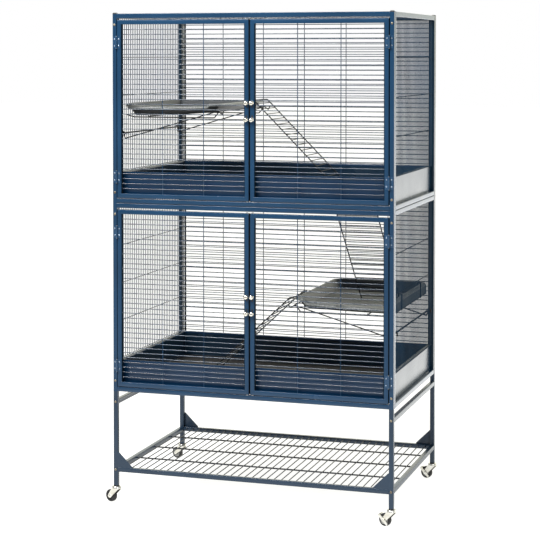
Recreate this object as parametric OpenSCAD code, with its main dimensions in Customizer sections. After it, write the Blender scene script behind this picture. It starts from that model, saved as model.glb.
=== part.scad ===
// Two-tier wire cage on a wheeled stand. Millimetres.
// X to the right, front faces -Y, Z up, floor at Z = 0.

/* [Cage] */
// Width of the cage body over its posts
cage_w = 950; // [900:10:1000]
// Depth of the cage body over its posts
cage_d = 630; // [610:10:660]
// Height of one tier
tier_h = 624; // [610:2:650]
// Height of the stand, floor to the cage's lower edge
stand_h = 372; // [350:2:400]
// Square tube of the cage posts and rails
tube = 14; // [13:0.5:15]
// Wall of every tube
wall = 1.2; // [1:0.1:1.4]

/* [Grilles] */
// Wire thickness of every grille
wire = 2.8; // [2.4:0.1:3.2]
// Spacing of the close wires
pitch = 16.3; // [15:0.1:18]

/* [Trays] */
// Depth of the two sliding trays
tray_h = 86; // [70:2:88]
// Sheet thickness of the trays
tray_t = 1.2; // [1:0.1:2]
// Width of the ladder hole in the upper tray
hole_w = 175; // [165:5:180]
// Depth of the ladder hole in the upper tray
hole_d = 149; // [120:1:160]

/* [Shelves] */
// Width of a shelf pan
shelf_w = 333; // [300:1:340]
// Depth of a shelf pan
shelf_d = 500; // [480:5:510]
// Height of a shelf's rim above the tier's lower edge
shelf_z = 328; // [310:1:335]
// Bracket wire thickness
bracket = 4; // [3.5:0.1:4.5]

/* [Ladders] */
// Rail spacing of a ladder
ladder_w = 150; // [130:5:155]
// Rung spacing of a ladder
rung_pitch = 25; // [20:1:30]

/* [Stand] */
// Square tube of the stand
leg = 15; // [14:0.5:16]
// Wheel diameter
wheel_d = 40.5; // [38:0.5:42]
// Distance from a caster's swivel axis back to its axle
trail = 23; // [21:0.5:25]
// Angle of the casters about their swivel axes
caster_turn = 20; // [0:1:40]

/* [Hidden] */
$fn = 40;
// the origin sits under the middle of the whole outline, casters included
ox = 15;
oy = 0;
xo = cage_w / 2;            // outer face of the posts
yo = cage_d / 2;
xi = xo - tube;             // inner face of the posts
yi = yo - tube;
px = xo - tube / 2;         // post centre
lx = xo - leg / 2;          // stand leg centre
ly = yo - leg / 2;
b0 = stand_h;
b1 = stand_h + tier_h;
top_z = stand_h + 2 * tier_h;
cap_t = 1.5;
cap_up = 3;                 // how far the caps stand above the rails
rail_b = 15;                // bottom rail height
rail_t = 16;                // top rail height
border = 9;                 // flat bar that holds the rear wires
wf = wire / cos(22.5);      // across corners of an eight-sided wire
lap = wire * 0.9;           // crossing wires bite a little
leg_z = 58;                 // lower end of the stand legs
srail_z = 104;              // stand's lower rail
srail_u = 329;              // stand's upper side rail
screw_r = 2;
hole_r = 2.15;
screw_lo = 35;
screw_hi = tier_h - 37;
stile = 14;                 // door frame
drail = 15;
door_x0 = 2.5;
door_x1 = xi - 2.5;
door_y0 = -yo - 2;
door_y1 = -yi - 2;
door_z0 = 17;
door_z1 = tier_h - 21;
hinge_x = xi - 1.25;
hinge_y = -yo - 5.5;
hinge_r = 3;
hinge_pin_r = 1.3;
hinge_h = 40;
hinge_lo = 87;
hinge_hi = tier_h - 95;
bolt_x = door_x0 + stile / 2;
knob_hi = 334;
knob_lo = 280;
bolt_r = 3.5;
bolt_travel = 12;
conn = tube - 2 * wall - 0.2;
conn_h = 100;
tray_z = 17;
tray_x = xi - 6;
tray_y = yi - 3;
tray_in = 6;                // how far the tray walls lean in
hole_x = 265;
hole_y = -284;
cross_z = [104, 229, 354, 480];
sw = stand_h;               // lower tier's base
pan_in = 25;                // how far the pan's wall leans in
pan_h = 41;
pan_ch = 25;                // chamfer at the free end
pan_cw = 6;                 // chamfer at the wall
pan_t = 2;
pan_yc = -3;                // middle of the pan front to back
pan_rim = 2.4;              // thickness of the pan's rim
pan_skirt = 10;             // height of the rim's folded edge
pan_dip = 12;               // how far the front rim is lowered
hook_y = pitch * 15.5;
axle_z = wheel_d / 2;
rim_z = shelf_z;            // top of the pan rim
shelf_x0 = xi - 3 - shelf_w;  // free edge of a shelf
lad_wire = 4;
rung_wire = 3;
lad_bar_r = 2.2;            // round bar at a ladder's upper end

// ---------------------------------------------------------------- helpers

module at_origin() { translate([ox, oy, 0]) children(); }

module block(a, b) { translate(a) cube([b[0] - a[0], b[1] - a[1], b[2] - a[2]]); }

// straight wire, eight flat sides, flats square to the world where it can be
module rod(p, q, d) {
    v = q - p;
    l = norm(v);
    translate(p) rotate([0, acos(v[2] / l), atan2(v[1], v[0])])
        rotate([0, 0, 22.5]) cylinder(d = d / cos(22.5), h = l, $fn = 8);
}

// chain of straight wires through a list of points, each a little long at the bends
module chain(pts, d) {
    for (i = [0 : len(pts) - 2]) {
        v = (pts[i + 1] - pts[i]) / norm(pts[i + 1] - pts[i]);
        rod(pts[i] - v * (i == 0 ? 0 : d * 0.3), pts[i + 1] + v * (i == len(pts) - 2 ? 0 : d * 0.3), d);
    }
}

// screw clearance along Y through the post at x, height z, s = -1 front, 1 rear
module y_hole(x, z, s, y, deep) {
    translate([x, s * (y + 1), z]) rotate([s * 90, 0, 0]) cylinder(r = hole_r, h = deep + 1, $fn = 24);
}

// round-headed screw pointing inwards along Y
module y_screw(x, z, s, y, deep) {
    translate([x, s * y, z]) rotate([s * 90, 0, 0]) {
        cylinder(r = screw_r, h = deep, $fn = 24);
        rotate([180, 0, 0]) rotate_extrude($fn = 32)
            polygon([[0, 0], [4, 0], [4, 0.7], [3.4, 1.5], [2.2, 2.1], [0, 2.3]]);
    }
}

// ------------------------------------------------------------------ stand

module stand_frame(s) {
    difference() {
        union() {
            for (m = [-1, 1])
                block([m * lx - leg / 2, s * ly - leg / 2, leg_z], [m * lx + leg / 2, s * ly + leg / 2, stand_h]);
            block([-lx, s * ly - leg / 2, srail_z], [lx, s * ly + leg / 2, srail_z + leg]);
        }
        for (m = [-1, 1]) {
            block([m * lx - leg / 2 + wall, s * ly - leg / 2 + wall, leg_z - 1],
                [m * lx + leg / 2 - wall, s * ly + leg / 2 - wall, stand_h + 1]);
            y_hole(m * lx, srail_z + leg / 2, s, yo, leg + 2);
            y_hole(m * lx, srail_u + leg / 2, s, yo, leg + 2);
        }
        block([-lx, s * ly - leg / 2 + wall, srail_z + wall], [lx, s * ly + leg / 2 - wall, srail_z + leg - wall]);
    }
    // corner gussets
    for (m = [-1, 1])
        translate([m * (lx - leg / 2 + 0.6), s * (yo - 1.8), srail_z + leg - 0.6]) rotate([90, 0, 0])
            linear_extrude(height = 3, center = true)
                polygon([[0, 0], [-m * 52.6, 0], [-m * 52.6, 3], [-m * 3, 51.6], [0, 51.6]]);
}

module stand_front_frame() { color("#51616f") at_origin() stand_frame(-1); }
module stand_rear_frame() { color("#46535f") at_origin() stand_frame(1); }

module stand_side(m) {
    for (z = [srail_z, srail_u]) difference() {
        block([m * lx - leg / 2, -yo + leg, z], [m * lx + leg / 2, yo - leg, z + leg]);
        block([m * lx - leg / 2 + wall, -yo + leg + 3, z + wall], [m * lx + leg / 2 - wall, yo - leg - 3, z + leg - wall]);
        for (s = [-1, 1]) y_hole(m * lx, z + leg / 2, s, yo, leg + 6);
    }
}
module stand_side_left() { color("#5b6a77") at_origin() stand_side(-1); }
module stand_side_right() { color("#7d8a94") at_origin() stand_side(1); }

module stand_shelf_grid() {
    color("#2b3b4b") at_origin() {
        n = 18;
        for (i = [-n : n])
            rod([i * 24.7, -yo + leg, srail_z + 10.2], [i * 24.7, yo - leg, srail_z + 10.2], 3);
        for (y = [-140, 20, 178])
            rod([-lx + leg / 2, y, srail_z + 6.4], [lx - leg / 2, y, srail_z + 6.4], 5.2);
    }
}

module stand_bolts() {
    color("#c9b98a") at_origin()
        for (m = [-1, 1], s = [-1, 1], z = [srail_z + leg / 2, srail_u + leg / 2])
            y_screw(m * lx, z, s, yo, leg + 4);
}

module leg_plugs() {
    color("#22262a") at_origin() for (m = [-1, 1], s = [-1, 1]) translate([m * lx, s * ly, 0])
        difference() {
            union() {
                block([-leg / 2, -leg / 2, leg_z - 3], [leg / 2, leg / 2, leg_z]);
                block([-leg / 2 + wall + 0.1, -leg / 2 + wall + 0.1, leg_z - 1], [leg / 2 - wall - 0.1, leg / 2 - wall - 0.1, leg_z + 32]);
            }
            translate([0, 0, leg_z - 4]) cylinder(r = 4.1, h = 40);
        }
}

module caster_stems() {
    color("#c8c4b0") at_origin() for (m = [-1, 1], s = [-1, 1]) translate([m * lx, s * ly, 0])
        rotate_extrude() polygon([[0, 42], [7, 42], [7, 46], [4, 46], [4, 51], [15, 51], [15, 53.6],
            [13.6, leg_z - 3], [4, leg_z - 3], [4, leg_z + 27], [3, leg_z + 29], [0, leg_z + 29]]);
}

// -------------------------------------------------------------- casters

// local frame of a caster: +X trails, +Y is the axle's front end
module caster(m, s) { at_origin() translate([m * lx, s * ly, 0]) rotate([0, 0, 180 - caster_turn]) children(); }

module fork(stub) {
    difference() {
        union() {
            rotate_extrude() polygon([[4.06, 46.2], [13, 46.2], [15, 47.2], [15, 50.8], [4.06, 50.8]]);
            for (s = [-1, 1]) translate([0, s * 9.4, 0]) rotate([90, 0, 0])
                linear_extrude(height = 1.8, center = true) {
                    polygon([[-10.6, 50.2], [-10.6, 43.5], [17.4, 15.3], [trail + 6.5, 16.4], [trail + 7.2, 22.5], [10.6, 50.2]]);
                    translate([trail, axle_z]) circle(r = 7.4);
                }
            translate([trail, 0, axle_z]) rotate([90, 0, 0]) {
                translate([0, 0, -stub]) cylinder(r = 2.5, h = stub + 10.2);
                translate([0, 0, 10.2]) cylinder(r = 4.2, h = 1.4);
                translate([0, 0, -stub - 1.4]) cylinder(r = 4.2, h = 1.4);
            }
        }
        translate([0, 0, 40]) cylinder(r = 4.06, h = 20);
    }
}

module wheel() {
    translate([trail, 0, axle_z]) rotate([90, 0, 0]) rotate_extrude($fn = 64)
        polygon([[2.58, -8.2], [6, -8.2], [7, -6.4], [12.4, -5.2], [13.4, -7.2], [axle_z - 2.2, -7.5],
            [axle_z - 0.5, -6.2], [axle_z, -3.6], [axle_z, 3.6], [axle_z - 0.5, 6.2], [axle_z - 2.2, 7.5],
            [13.4, 7.2], [12.4, 5.2], [7, 6.4], [6, 8.2], [2.58, 8.2]]);
}

module brake_lever() {
    difference() {
        union() {
            translate([trail, 11.7, axle_z]) rotate([90, 0, 0]) linear_extrude(height = 2.2, center = true) {
                circle(r = 5.6);
                rotate(42) polygon([[-20, -3.4], [-18, 3.4], [0, 5], [24.4, 3.2], [24.4, -3.2], [0, -5]]);
            }
            // pedal reaching across the tread
            translate([trail, 0, axle_z]) rotate([0, -42, 0]) block([21.6, -8, -5.5], [24.4, 12.8, 5.5]);
        }
        translate([trail, 20, axle_z]) rotate([90, 0, 0]) cylinder(r = 2.58, h = 12);
    }
}

module caster_fork_fl() { color("#c8c4b0") caster(-1, -1) fork(10.2); }
module caster_fork_fr() { color("#c8c4b0") caster(1, -1) fork(13); }
module caster_fork_rl() { color("#c8c4b0") caster(-1, 1) fork(10.2); }
module caster_fork_rr() { color("#c8c4b0") caster(1, 1) fork(13); }
module caster_wheel_fl() { color("#1d1f21") caster(-1, -1) wheel(); }
module caster_wheel_fr() { color("#1d1f21") caster(1, -1) wheel(); }
module caster_wheel_rl() { color("#1d1f21") caster(-1, 1) wheel(); }
module caster_wheel_rr() { color("#1d1f21") caster(1, 1) wheel(); }
module brake_lever_fr() { color("#33373a") caster(1, -1) brake_lever(); }
module brake_lever_rr() { color("#33373a") caster(1, 1) brake_lever(); }

// ---------------------------------------------------------- cage frames

// two posts and two rails of one tier, s = -1 front, 1 rear; cut = room for the caps
module post_frame(b, s, cut) {
    ym = s * (yo - tube / 2);
    difference() {
        union() {
            for (m = [-1, 1])
                block([m * px - tube / 2, ym - tube / 2, b], [m * px + tube / 2, ym + tube / 2, b + tier_h - cut]);
            block([-px, ym - tube / 2, b], [px, ym + tube / 2, b + rail_b]);
            block([-xi, ym - tube / 2, b + tier_h - rail_t], [xi, ym + tube / 2, b + tier_h]);
        }
        for (m = [-1, 1]) {
            block([m * px - tube / 2 + wall, ym - tube / 2 + wall, b - 1],
                [m * px + tube / 2 - wall, ym + tube / 2 - wall, b + tier_h + 1]);
            for (z = [screw_lo, screw_hi]) y_hole(m * px, b + z, s, yo, tube + 2);
        }
        block([-px, ym - tube / 2 + wall, b + wall], [px, ym + tube / 2 - wall, b + rail_b - wall]);
        block([-px, ym - tube / 2 + wall, b + tier_h - rail_t + wall],
            [px, ym + tube / 2 - wall, b + tier_h - max(wall, cut + 0.6)]);
    }
}

module rear_panel(b, cut) {
    post_frame(b, 1, cut);
    n = floor((tier_h - rail_t - rail_b) / pitch);
    zm = b + (tier_h - rail_t + rail_b) / 2;
    yw = yo - tube / 2;
    for (i = [0 : n - 1]) {
        z = zm + (i - (n - 1) / 2) * pitch;
        rod([-xi + border - 1, yw, z], [xi - border + 1, yw, z], wire);
    }
    for (x = [-307, -153.7, 0, 153.7, 307])
        rod([x, yw - lap, b + rail_b - 0.6], [x, yw - lap, b + tier_h - rail_t + 0.6], wire);
    // flat bars beside the posts that hold the wires' ends
    for (m = [-1, 1])
        block([m * (xi - border / 2 + 0.3) - border / 2 - 0.3, yw - 4, b + rail_b - 0.6],
            [m * (xi - border / 2 + 0.3) + border / 2 + 0.3, yw + 3, b + tier_h - rail_t + 0.6]);
}

module side_panel(b, m) {
    difference() {
        union() {
            for (s = [-1, 1]) block([m * px - tube / 2, s * (yi - tube / 2) - tube / 2, b],
                [m * px + tube / 2, s * (yi - tube / 2) + tube / 2, b + tier_h]);
            block([m * px - tube / 2, -yi + tube / 2, b], [m * px + tube / 2, yi - tube / 2, b + rail_b]);
            block([m * px - tube / 2, -yi + tube / 2, b + tier_h - rail_t], [m * px + tube / 2, yi - tube / 2, b + tier_h]);
        }
        for (s = [-1, 1]) {
            block([m * px - tube / 2 + wall, s * (yi - tube / 2) - tube / 2 + wall, b + wall],
                [m * px + tube / 2 - wall, s * (yi - tube / 2) + tube / 2 - wall, b + tier_h - wall]);
            for (z = [screw_lo, screw_hi]) y_hole(m * px, b + z, s, yo, tube + 4);
        }
        block([m * px - tube / 2 + wall, -yi + tube / 2, b + wall], [m * px + tube / 2 - wall, yi - tube / 2, b + rail_b - wall]);
        block([m * px - tube / 2 + wall, -yi + tube / 2, b + tier_h - rail_t + wall],
            [m * px + tube / 2 - wall, yi - tube / 2, b + tier_h - wall]);
    }
    for (i = [-17 : 17])
        rod([m * px, i * pitch, b + cross_z[0] - wire / 2], [m * px, i * pitch, b + tier_h - rail_t + 0.6], wire);
    for (z = cross_z)
        rod([m * (px - lap), -yi + tube - 0.6, b + z], [m * (px - lap), yi - tube + 0.6, b + z], wire);
}

module lower_front_frame() { color("#2f5d8a") at_origin() post_frame(b0, -1, 0); }
module upper_front_frame() { color("#2f5d8a") at_origin() post_frame(b1, -1, cap_t); }
module lower_rear_panel() { color("#27465f") at_origin() rear_panel(b0, 0); }
module upper_rear_panel() { color("#27465f") at_origin() rear_panel(b1, cap_t); }
module lower_side_left() { color("#6f8090") at_origin() side_panel(b0, -1); }
module lower_side_right() { color("#9aa5ae") at_origin() side_panel(b0, 1); }
module upper_side_left() { color("#6f8090") at_origin() side_panel(b1, -1); }
module upper_side_right() { color("#9aa5ae") at_origin() side_panel(b1, 1); }

module roof_panel() {
    color("#355a7c") at_origin() {
        z0 = top_z - 12;
        t = 10;
        difference() {
            block([-xi, -yi, z0], [xi, yi, z0 + t]);
            block([-xi + t, -yi + t, z0 - 1], [xi - t, yi - t, z0 + t + 1]);
            for (s = [-1, 1]) {
                block([-xi + wall, s * (yi - t / 2) - t / 2 + wall, z0 + wall], [xi - wall, s * (yi - t / 2) + t / 2 - wall, z0 + t - wall]);
                block([s * (xi - t / 2) - t / 2 + wall, -yi + wall, z0 + wall], [s * (xi - t / 2) + t / 2 - wall, yi - wall, z0 + t - wall]);
                translate([s * (xi - t / 2), 0, z0 - 1]) cylinder(r = 1.5, h = 4, $fn = 24);
            }
        }
        n = floor((2 * xi - 2 * t) / pitch / 2);
        for (i = [-n : n]) rod([i * pitch, -yi + t - 0.6, z0 + 5], [i * pitch, yi - t + 0.6, z0 + 5], wire);
        for (y = [-150, 0, 150]) rod([-xi + t - 0.6, y, z0 + 5 - lap], [xi - t + 0.6, y, z0 + 5 - lap], wire);
    }
}

module post_connectors() {
    color("#2b3138") at_origin() for (m = [-1, 1], s = [-1, 1], b = [b0, b1])
        difference() {
            block([m * px - conn / 2, s * (yo - tube / 2) - conn / 2, b - conn_h / 2],
                [m * px + conn / 2, s * (yo - tube / 2) + conn / 2, b + conn_h / 2]);
            y_hole(m * px, b + screw_lo, s, yo, 20);
            y_hole(m * px, b - 37, s, yo, 20);
            y_hole(m * lx, srail_u + leg / 2, s, yo, 20);
        }
}

module post_caps() {
    color("#23415c") at_origin() for (m = [-1, 1], s = [-1, 1]) {
        block([m * px - tube / 2, s * (yo - tube / 2) - tube / 2, top_z - cap_t],
            [m * px + tube / 2, s * (yo - tube / 2) + tube / 2, top_z]);
        translate([m * px, s * (yo - tube / 2), top_z - 0.5]) linear_extrude(height = cap_up + 0.5, scale = 0.8)
            square(tube - 0.8, center = true);
        block([m * px - conn / 2, s * (yo - tube / 2) - conn / 2, top_z - 14],
            [m * px + conn / 2, s * (yo - tube / 2) + conn / 2, top_z - cap_t]);
    }
}

module cage_bolts() {
    color("#c9b98a") at_origin()
        for (m = [-1, 1], s = [-1, 1], b = [b0, b1], z = [screw_lo, screw_hi]) y_screw(m * px, b + z, s, yo, tube + 3);
}

// ----------------------------------------------------------------- trays

// tapered open box, bottom w0 x d0, top w1 x d1
module taper(w0, d0, w1, d1, h) {
    linear_extrude(height = h, scale = [w1 / w0, d1 / d0], slices = 1) square([w0, d0], center = true);
}

module tray(b) {
    w1 = 2 * tray_x;
    d1 = 2 * tray_y;
    w0 = w1 - 2 * tray_in;
    d0 = d1 - 2 * tray_in;
    t = 2 * tray_t;
    translate([0, 0, b + tray_z]) {
        difference() {
            taper(w0, d0, w1 - 4, d1 - 4, tray_h);
            translate([0, 0, tray_t]) taper(w0 - t, d0 - t, w1 - 4 - t, d1 - 4 - t, tray_h - tray_t + 0.01);
        }
        // folded lip along the upper edge
        translate([0, 0, tray_h - 8]) difference() {
            translate([-w1 / 2, -d1 / 2, 0]) cube([w1, d1, 8]);
            translate([-w1 / 2 + 3.6, -d1 / 2 + 3.6, -1]) cube([w1 - 7.2, d1 - 7.2, 10]);
        }
    }
}

module lower_tray() { color("#3c5f80") at_origin() tray(b0); }
module upper_tray() {
    color("#3c5f80") at_origin() difference() {
        tray(b1);
        block([hole_x, hole_y, b1], [hole_x + hole_w, hole_y + hole_d, b1 + tray_z + 10]);
    }
}

module tray_runners(b) {
    for (m = [-1, 1]) {
        block([m * (xi - 0.75) - 0.75, -yi + 20, b + 2], [m * (xi - 0.75) + 0.75, yi - 20, b + tray_z]);
        block([m * (xi - 11) - 11, -yi + 20, b + tray_z - 1.5], [m * (xi - 11) + 11, yi - 20, b + tray_z]);
    }
}
module lower_tray_runners() { color("#6f8090") at_origin() tray_runners(b0); }
module upper_tray_runners() { color("#6f8090") at_origin() tray_runners(b1); }

// ----------------------------------------------------------------- doors

// right-hand door; the left one is its mirror image
module door(b) {
    ym = (door_y0 + door_y1) / 2;
    difference() {
        block([door_x0, door_y0, b + door_z0], [door_x1, door_y1, b + door_z1]);
        block([door_x0 + stile, door_y0 - 1, b + door_z0 + drail], [door_x1 - stile, door_y1 + 1, b + door_z1 - drail]);
        for (x = [door_x0, door_x1 - stile])
            block([x + wall, door_y0 + wall, b + door_z0 + wall], [x + stile - wall, door_y1 - wall, b + door_z1 - wall]);
        for (z = [b + door_z0, b + door_z1 - drail])
            block([door_x0 + wall, door_y0 + wall, z + wall], [door_x1 - wall, door_y1 - wall, z + drail - wall]);
        // guide holes of the two bolts
        translate([bolt_x, ym, b + door_z0 - 1]) cylinder(r = bolt_r + 0.08, h = 5);
        translate([bolt_x, ym, b + door_z1 - 4]) cylinder(r = bolt_r + 0.08, h = 5);
        // slots of the two knobs
        for (z = [knob_hi - bolt_travel, knob_lo])
            block([bolt_x - 2.9, door_y0 - 1, b + z - 2.9], [bolt_x + 2.9, door_y0 + 3, b + z + bolt_travel + 2.9]);
        // drain holes
        for (x = [120, 340]) translate([x, ym, b + door_z0 - 1]) cylinder(r = 1.5, h = 4, $fn = 24);
    }
    yw = ym - 1;
    zm = b + (door_z0 + door_z1) / 2;
    n = 33;
    dp = (door_z1 - door_z0 - 2 * drail) / (n + 1);
    for (i = [0 : n - 1]) {
        z = zm + (i - (n - 1) / 2) * dp;
        rod([door_x0 + stile - 0.6, yw, z], [door_x1 - stile + 0.6, yw, z], wire);
    }
    for (x = [159.1, 301.8])
        rod([x, yw + lap, b + door_z0 + drail - 0.6], [x, yw + lap, b + door_z1 - drail + 0.6], wire);
}
module door_lower_right() { color("#2f5d8a") at_origin() door(b0); }
module door_lower_left() { color("#2f5d8a") at_origin() mirror([1, 0, 0]) door(b0); }
module door_upper_right() { color("#2f5d8a") at_origin() door(b1); }
module door_upper_left() { color("#2f5d8a") at_origin() mirror([1, 0, 0]) door(b1); }

// leaf with knuckles, z = lower end, part of the height given by [a, b] pairs
module knuckles(z, spans, r_in) {
    for (k = spans) translate([hinge_x, hinge_y, z + k[0]])
        difference() {
            cylinder(r = hinge_r, h = k[1] - k[0]);
            translate([0, 0, -1]) cylinder(r = r_in, h = k[1] - k[0] + 2);
        }
}

module fixed_leaf(z) {
    difference() {
        union() {
            block([hinge_x + 1.6, hinge_y + 1.6, z], [hinge_x + 2.9, -yo, z + hinge_h]);
            block([hinge_x + 1.6, -yo - 1.2, z], [xo - 2.5, -yo, z + hinge_h]);
        }
        block([hinge_x, hinge_y - 4, z + 13], [hinge_x + 3.6, -yo - 1.3, z + 27]);
    }
    knuckles(z, [[0, 12.9], [27.1, hinge_h]], hinge_pin_r);
    for (h = [9, 31]) translate([xo - 7.4, -yo - 1.2, z + h]) rotate([90, 0, 0])
        rotate_extrude($fn = 24) polygon([[0, -0.4], [2.4, -0.4], [2.4, 0.4], [1.6, 1], [0, 1.2]]);
}

module moving_leaf(z) {
    difference() {
        union() {
            block([hinge_x - 2.9, hinge_y + 1.6, z], [hinge_x - 1.6, door_y0, z + hinge_h]);
            block([door_x1 - 11, door_y0 - 1.2, z], [hinge_x - 1.6, door_y0, z + hinge_h]);
        }
        block([hinge_x - 3.6, hinge_y - 4, z - 1], [hinge_x, door_y0 - 1.3, z + 13]);
        block([hinge_x - 3.6, hinge_y - 4, z + 27], [hinge_x, door_y0 - 1.3, z + hinge_h + 1]);
        block([hinge_x - 3.4, hinge_y - 4, z - 1], [hinge_x, hinge_y + 3.1, z + 13]);
        block([hinge_x - 3.4, hinge_y - 4, z + 27], [hinge_x, hinge_y + 3.1, z + hinge_h + 1]);
    }
    knuckles(z, [[13.1, 26.9]], hinge_pin_r + 0.06);
    for (h = [9, 31]) translate([door_x1 - 6.6, door_y0 - 1.2, z + h]) rotate([90, 0, 0])
        rotate_extrude($fn = 24) polygon([[0, -0.4], [2.4, -0.4], [2.4, 0.4], [1.6, 1], [0, 1.2]]);
}

module hinge_fixed_leaves() {
    color("#44678a") at_origin() for (b = [b0, b1], z = [hinge_lo, hinge_hi], m = [0, 1])
        mirror([m, 0, 0]) fixed_leaf(b + z - hinge_h / 2);
}
module hinge_pins() {
    color("#b8bcc0") at_origin() for (b = [b0, b1], z = [hinge_lo, hinge_hi], m = [0, 1])
        mirror([m, 0, 0]) translate([hinge_x, hinge_y, b + z - hinge_h / 2]) {
            cylinder(r = hinge_pin_r, h = hinge_h);
            translate([0, 0, hinge_h]) cylinder(r = 2.2, h = 0.8);
            translate([0, 0, -0.8]) cylinder(r = 2.2, h = 0.8);
        }
}
module moving_leaves(b) { for (z = [hinge_lo, hinge_hi]) moving_leaf(b + z - hinge_h / 2); }
module hinge_leaves_lower_right() { color("#44678a") at_origin() moving_leaves(b0); }
module hinge_leaves_lower_left() { color("#44678a") at_origin() mirror([1, 0, 0]) moving_leaves(b0); }
module hinge_leaves_upper_right() { color("#44678a") at_origin() moving_leaves(b1); }
module hinge_leaves_upper_left() { color("#44678a") at_origin() mirror([1, 0, 0]) moving_leaves(b1); }

// sliding bolt: rod inside the meeting stile, stem through the slot, round knob
module bolt(b, zk, z0, z1) {
    ym = (door_y0 + door_y1) / 2;
    translate([bolt_x, ym, b + z0]) cylinder(r = bolt_r, h = z1 - z0);
    translate([bolt_x, ym, b + zk]) rotate([90, 0, 0]) {
        cylinder(r = 2.6, h = 14);
        rotate_extrude() polygon([[0, 9], [3.2, 9], [4.6, 10], [7.2, 12.2], [8.15, 15], [7.9, 18],
            [6.6, 20.6], [4.2, 22.4], [0, 23]]);
    }
}
module bolt_up(b) { bolt(b, knob_hi, knob_hi - 8, door_z1 + 3); }
module bolt_down(b) { bolt(b, knob_lo, rail_b + 0.5, knob_lo + 8); }
module bolt_lower_right_up() { color("#d8d2bc") at_origin() bolt_up(b0); }
module bolt_lower_right_down() { color("#d8d2bc") at_origin() bolt_down(b0); }
module bolt_lower_left_up() { color("#d8d2bc") at_origin() mirror([1, 0, 0]) bolt_up(b0); }
module bolt_lower_left_down() { color("#d8d2bc") at_origin() mirror([1, 0, 0]) bolt_down(b0); }
module bolt_upper_right_up() { color("#d8d2bc") at_origin() bolt_up(b1); }
module bolt_upper_right_down() { color("#d8d2bc") at_origin() bolt_down(b1); }
module bolt_upper_left_up() { color("#d8d2bc") at_origin() mirror([1, 0, 0]) bolt_up(b1); }
module bolt_upper_left_down() { color("#d8d2bc") at_origin() mirror([1, 0, 0]) bolt_down(b1); }

// --------------------------------------------------------------- shelves

module pan_outline(w, d, c, cw) {
    polygon([[-w / 2 + c, -d / 2], [w / 2 - cw, -d / 2], [w / 2, -d / 2 + cw], [w / 2, d / 2 - cw],
        [w / 2 - cw, d / 2], [-w / 2 + c, d / 2], [-w / 2, d / 2 - c], [-w / 2, -d / 2 + c]]);
}

// tapered tub: bottom size to top size over height h
module tub(w0, d0, w1, d1, h) {
    linear_extrude(height = h, scale = [w1 / w0, d1 / d0], slices = 1) pan_outline(w0, d0, pan_ch - 6, pan_cw - 2);
}

// strip under the lowered front rim, t high, from y0 to y1
module dip_strip(y0, y1, t) {
    a = -shelf_w / 2 + pan_ch + 6;
    c = shelf_w / 2 - pan_cw - 3;
    translate([0, y1, pan_h]) rotate([90, 0, 0]) linear_extrude(height = y1 - y0)
        polygon([[a, 0], [a + pan_dip, -pan_dip], [c - pan_dip, -pan_dip], [c, 0],
            [c, -t], [c - pan_dip, -pan_dip - t], [a + pan_dip, -pan_dip - t], [a, -t]]);
}

// shelf on the right-hand wall of the tier at b
module shelf_pan(b) {
    fl = 7;
    w1 = shelf_w - 2 * fl;
    d1 = shelf_d - 2 * fl;
    a = -shelf_w / 2 + pan_ch + 6;
    c = shelf_w / 2 - pan_cw - 3;
    y0 = -shelf_d / 2;
    translate([shelf_x0 + shelf_w / 2, pan_yc, b + rim_z - pan_h]) difference() {
        union() {
            difference() {
                union() {
                    tub(shelf_w - 2 * pan_in, shelf_d - 2 * pan_in, w1, d1, pan_h);
                    translate([0, 0, pan_h - pan_rim]) linear_extrude(height = pan_rim) pan_outline(shelf_w, shelf_d, pan_ch, pan_cw);
                    // folded edge under the rim
                    translate([0, 0, pan_h - pan_skirt]) linear_extrude(height = pan_skirt - 1) difference() {
                        pan_outline(shelf_w, shelf_d, pan_ch, pan_cw);
                        pan_outline(shelf_w - 4, shelf_d - 4, pan_ch - 1.2, pan_cw - 1.2);
                    }
                }
                // the front rim is lower between the corners
                translate([0, y0 + 20, pan_h]) rotate([90, 0, 0]) linear_extrude(height = 22)
                    polygon([[a, 0], [a + pan_dip, -pan_dip], [c - pan_dip, -pan_dip], [c, 0], [c, 3], [a, 3]]);
            }
            dip_strip(y0, y0 + 16, pan_rim);
            dip_strip(y0, y0 + 2, pan_skirt);
        }
        translate([0, 0, pan_t]) tub(shelf_w - 2 * pan_in - 2 * pan_t, shelf_d - 2 * pan_in - 2 * pan_t,
            w1 - 2 * pan_t, d1 - 2 * pan_t, pan_h - pan_t + 0.01);
    }
}
module shelf_pan_lower() { color("#8a8d90") at_origin() shelf_pan(b0); }
module shelf_pan_upper() { color("#8a8d90") at_origin() mirror([1, 0, 0]) shelf_pan(b1); }

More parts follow.
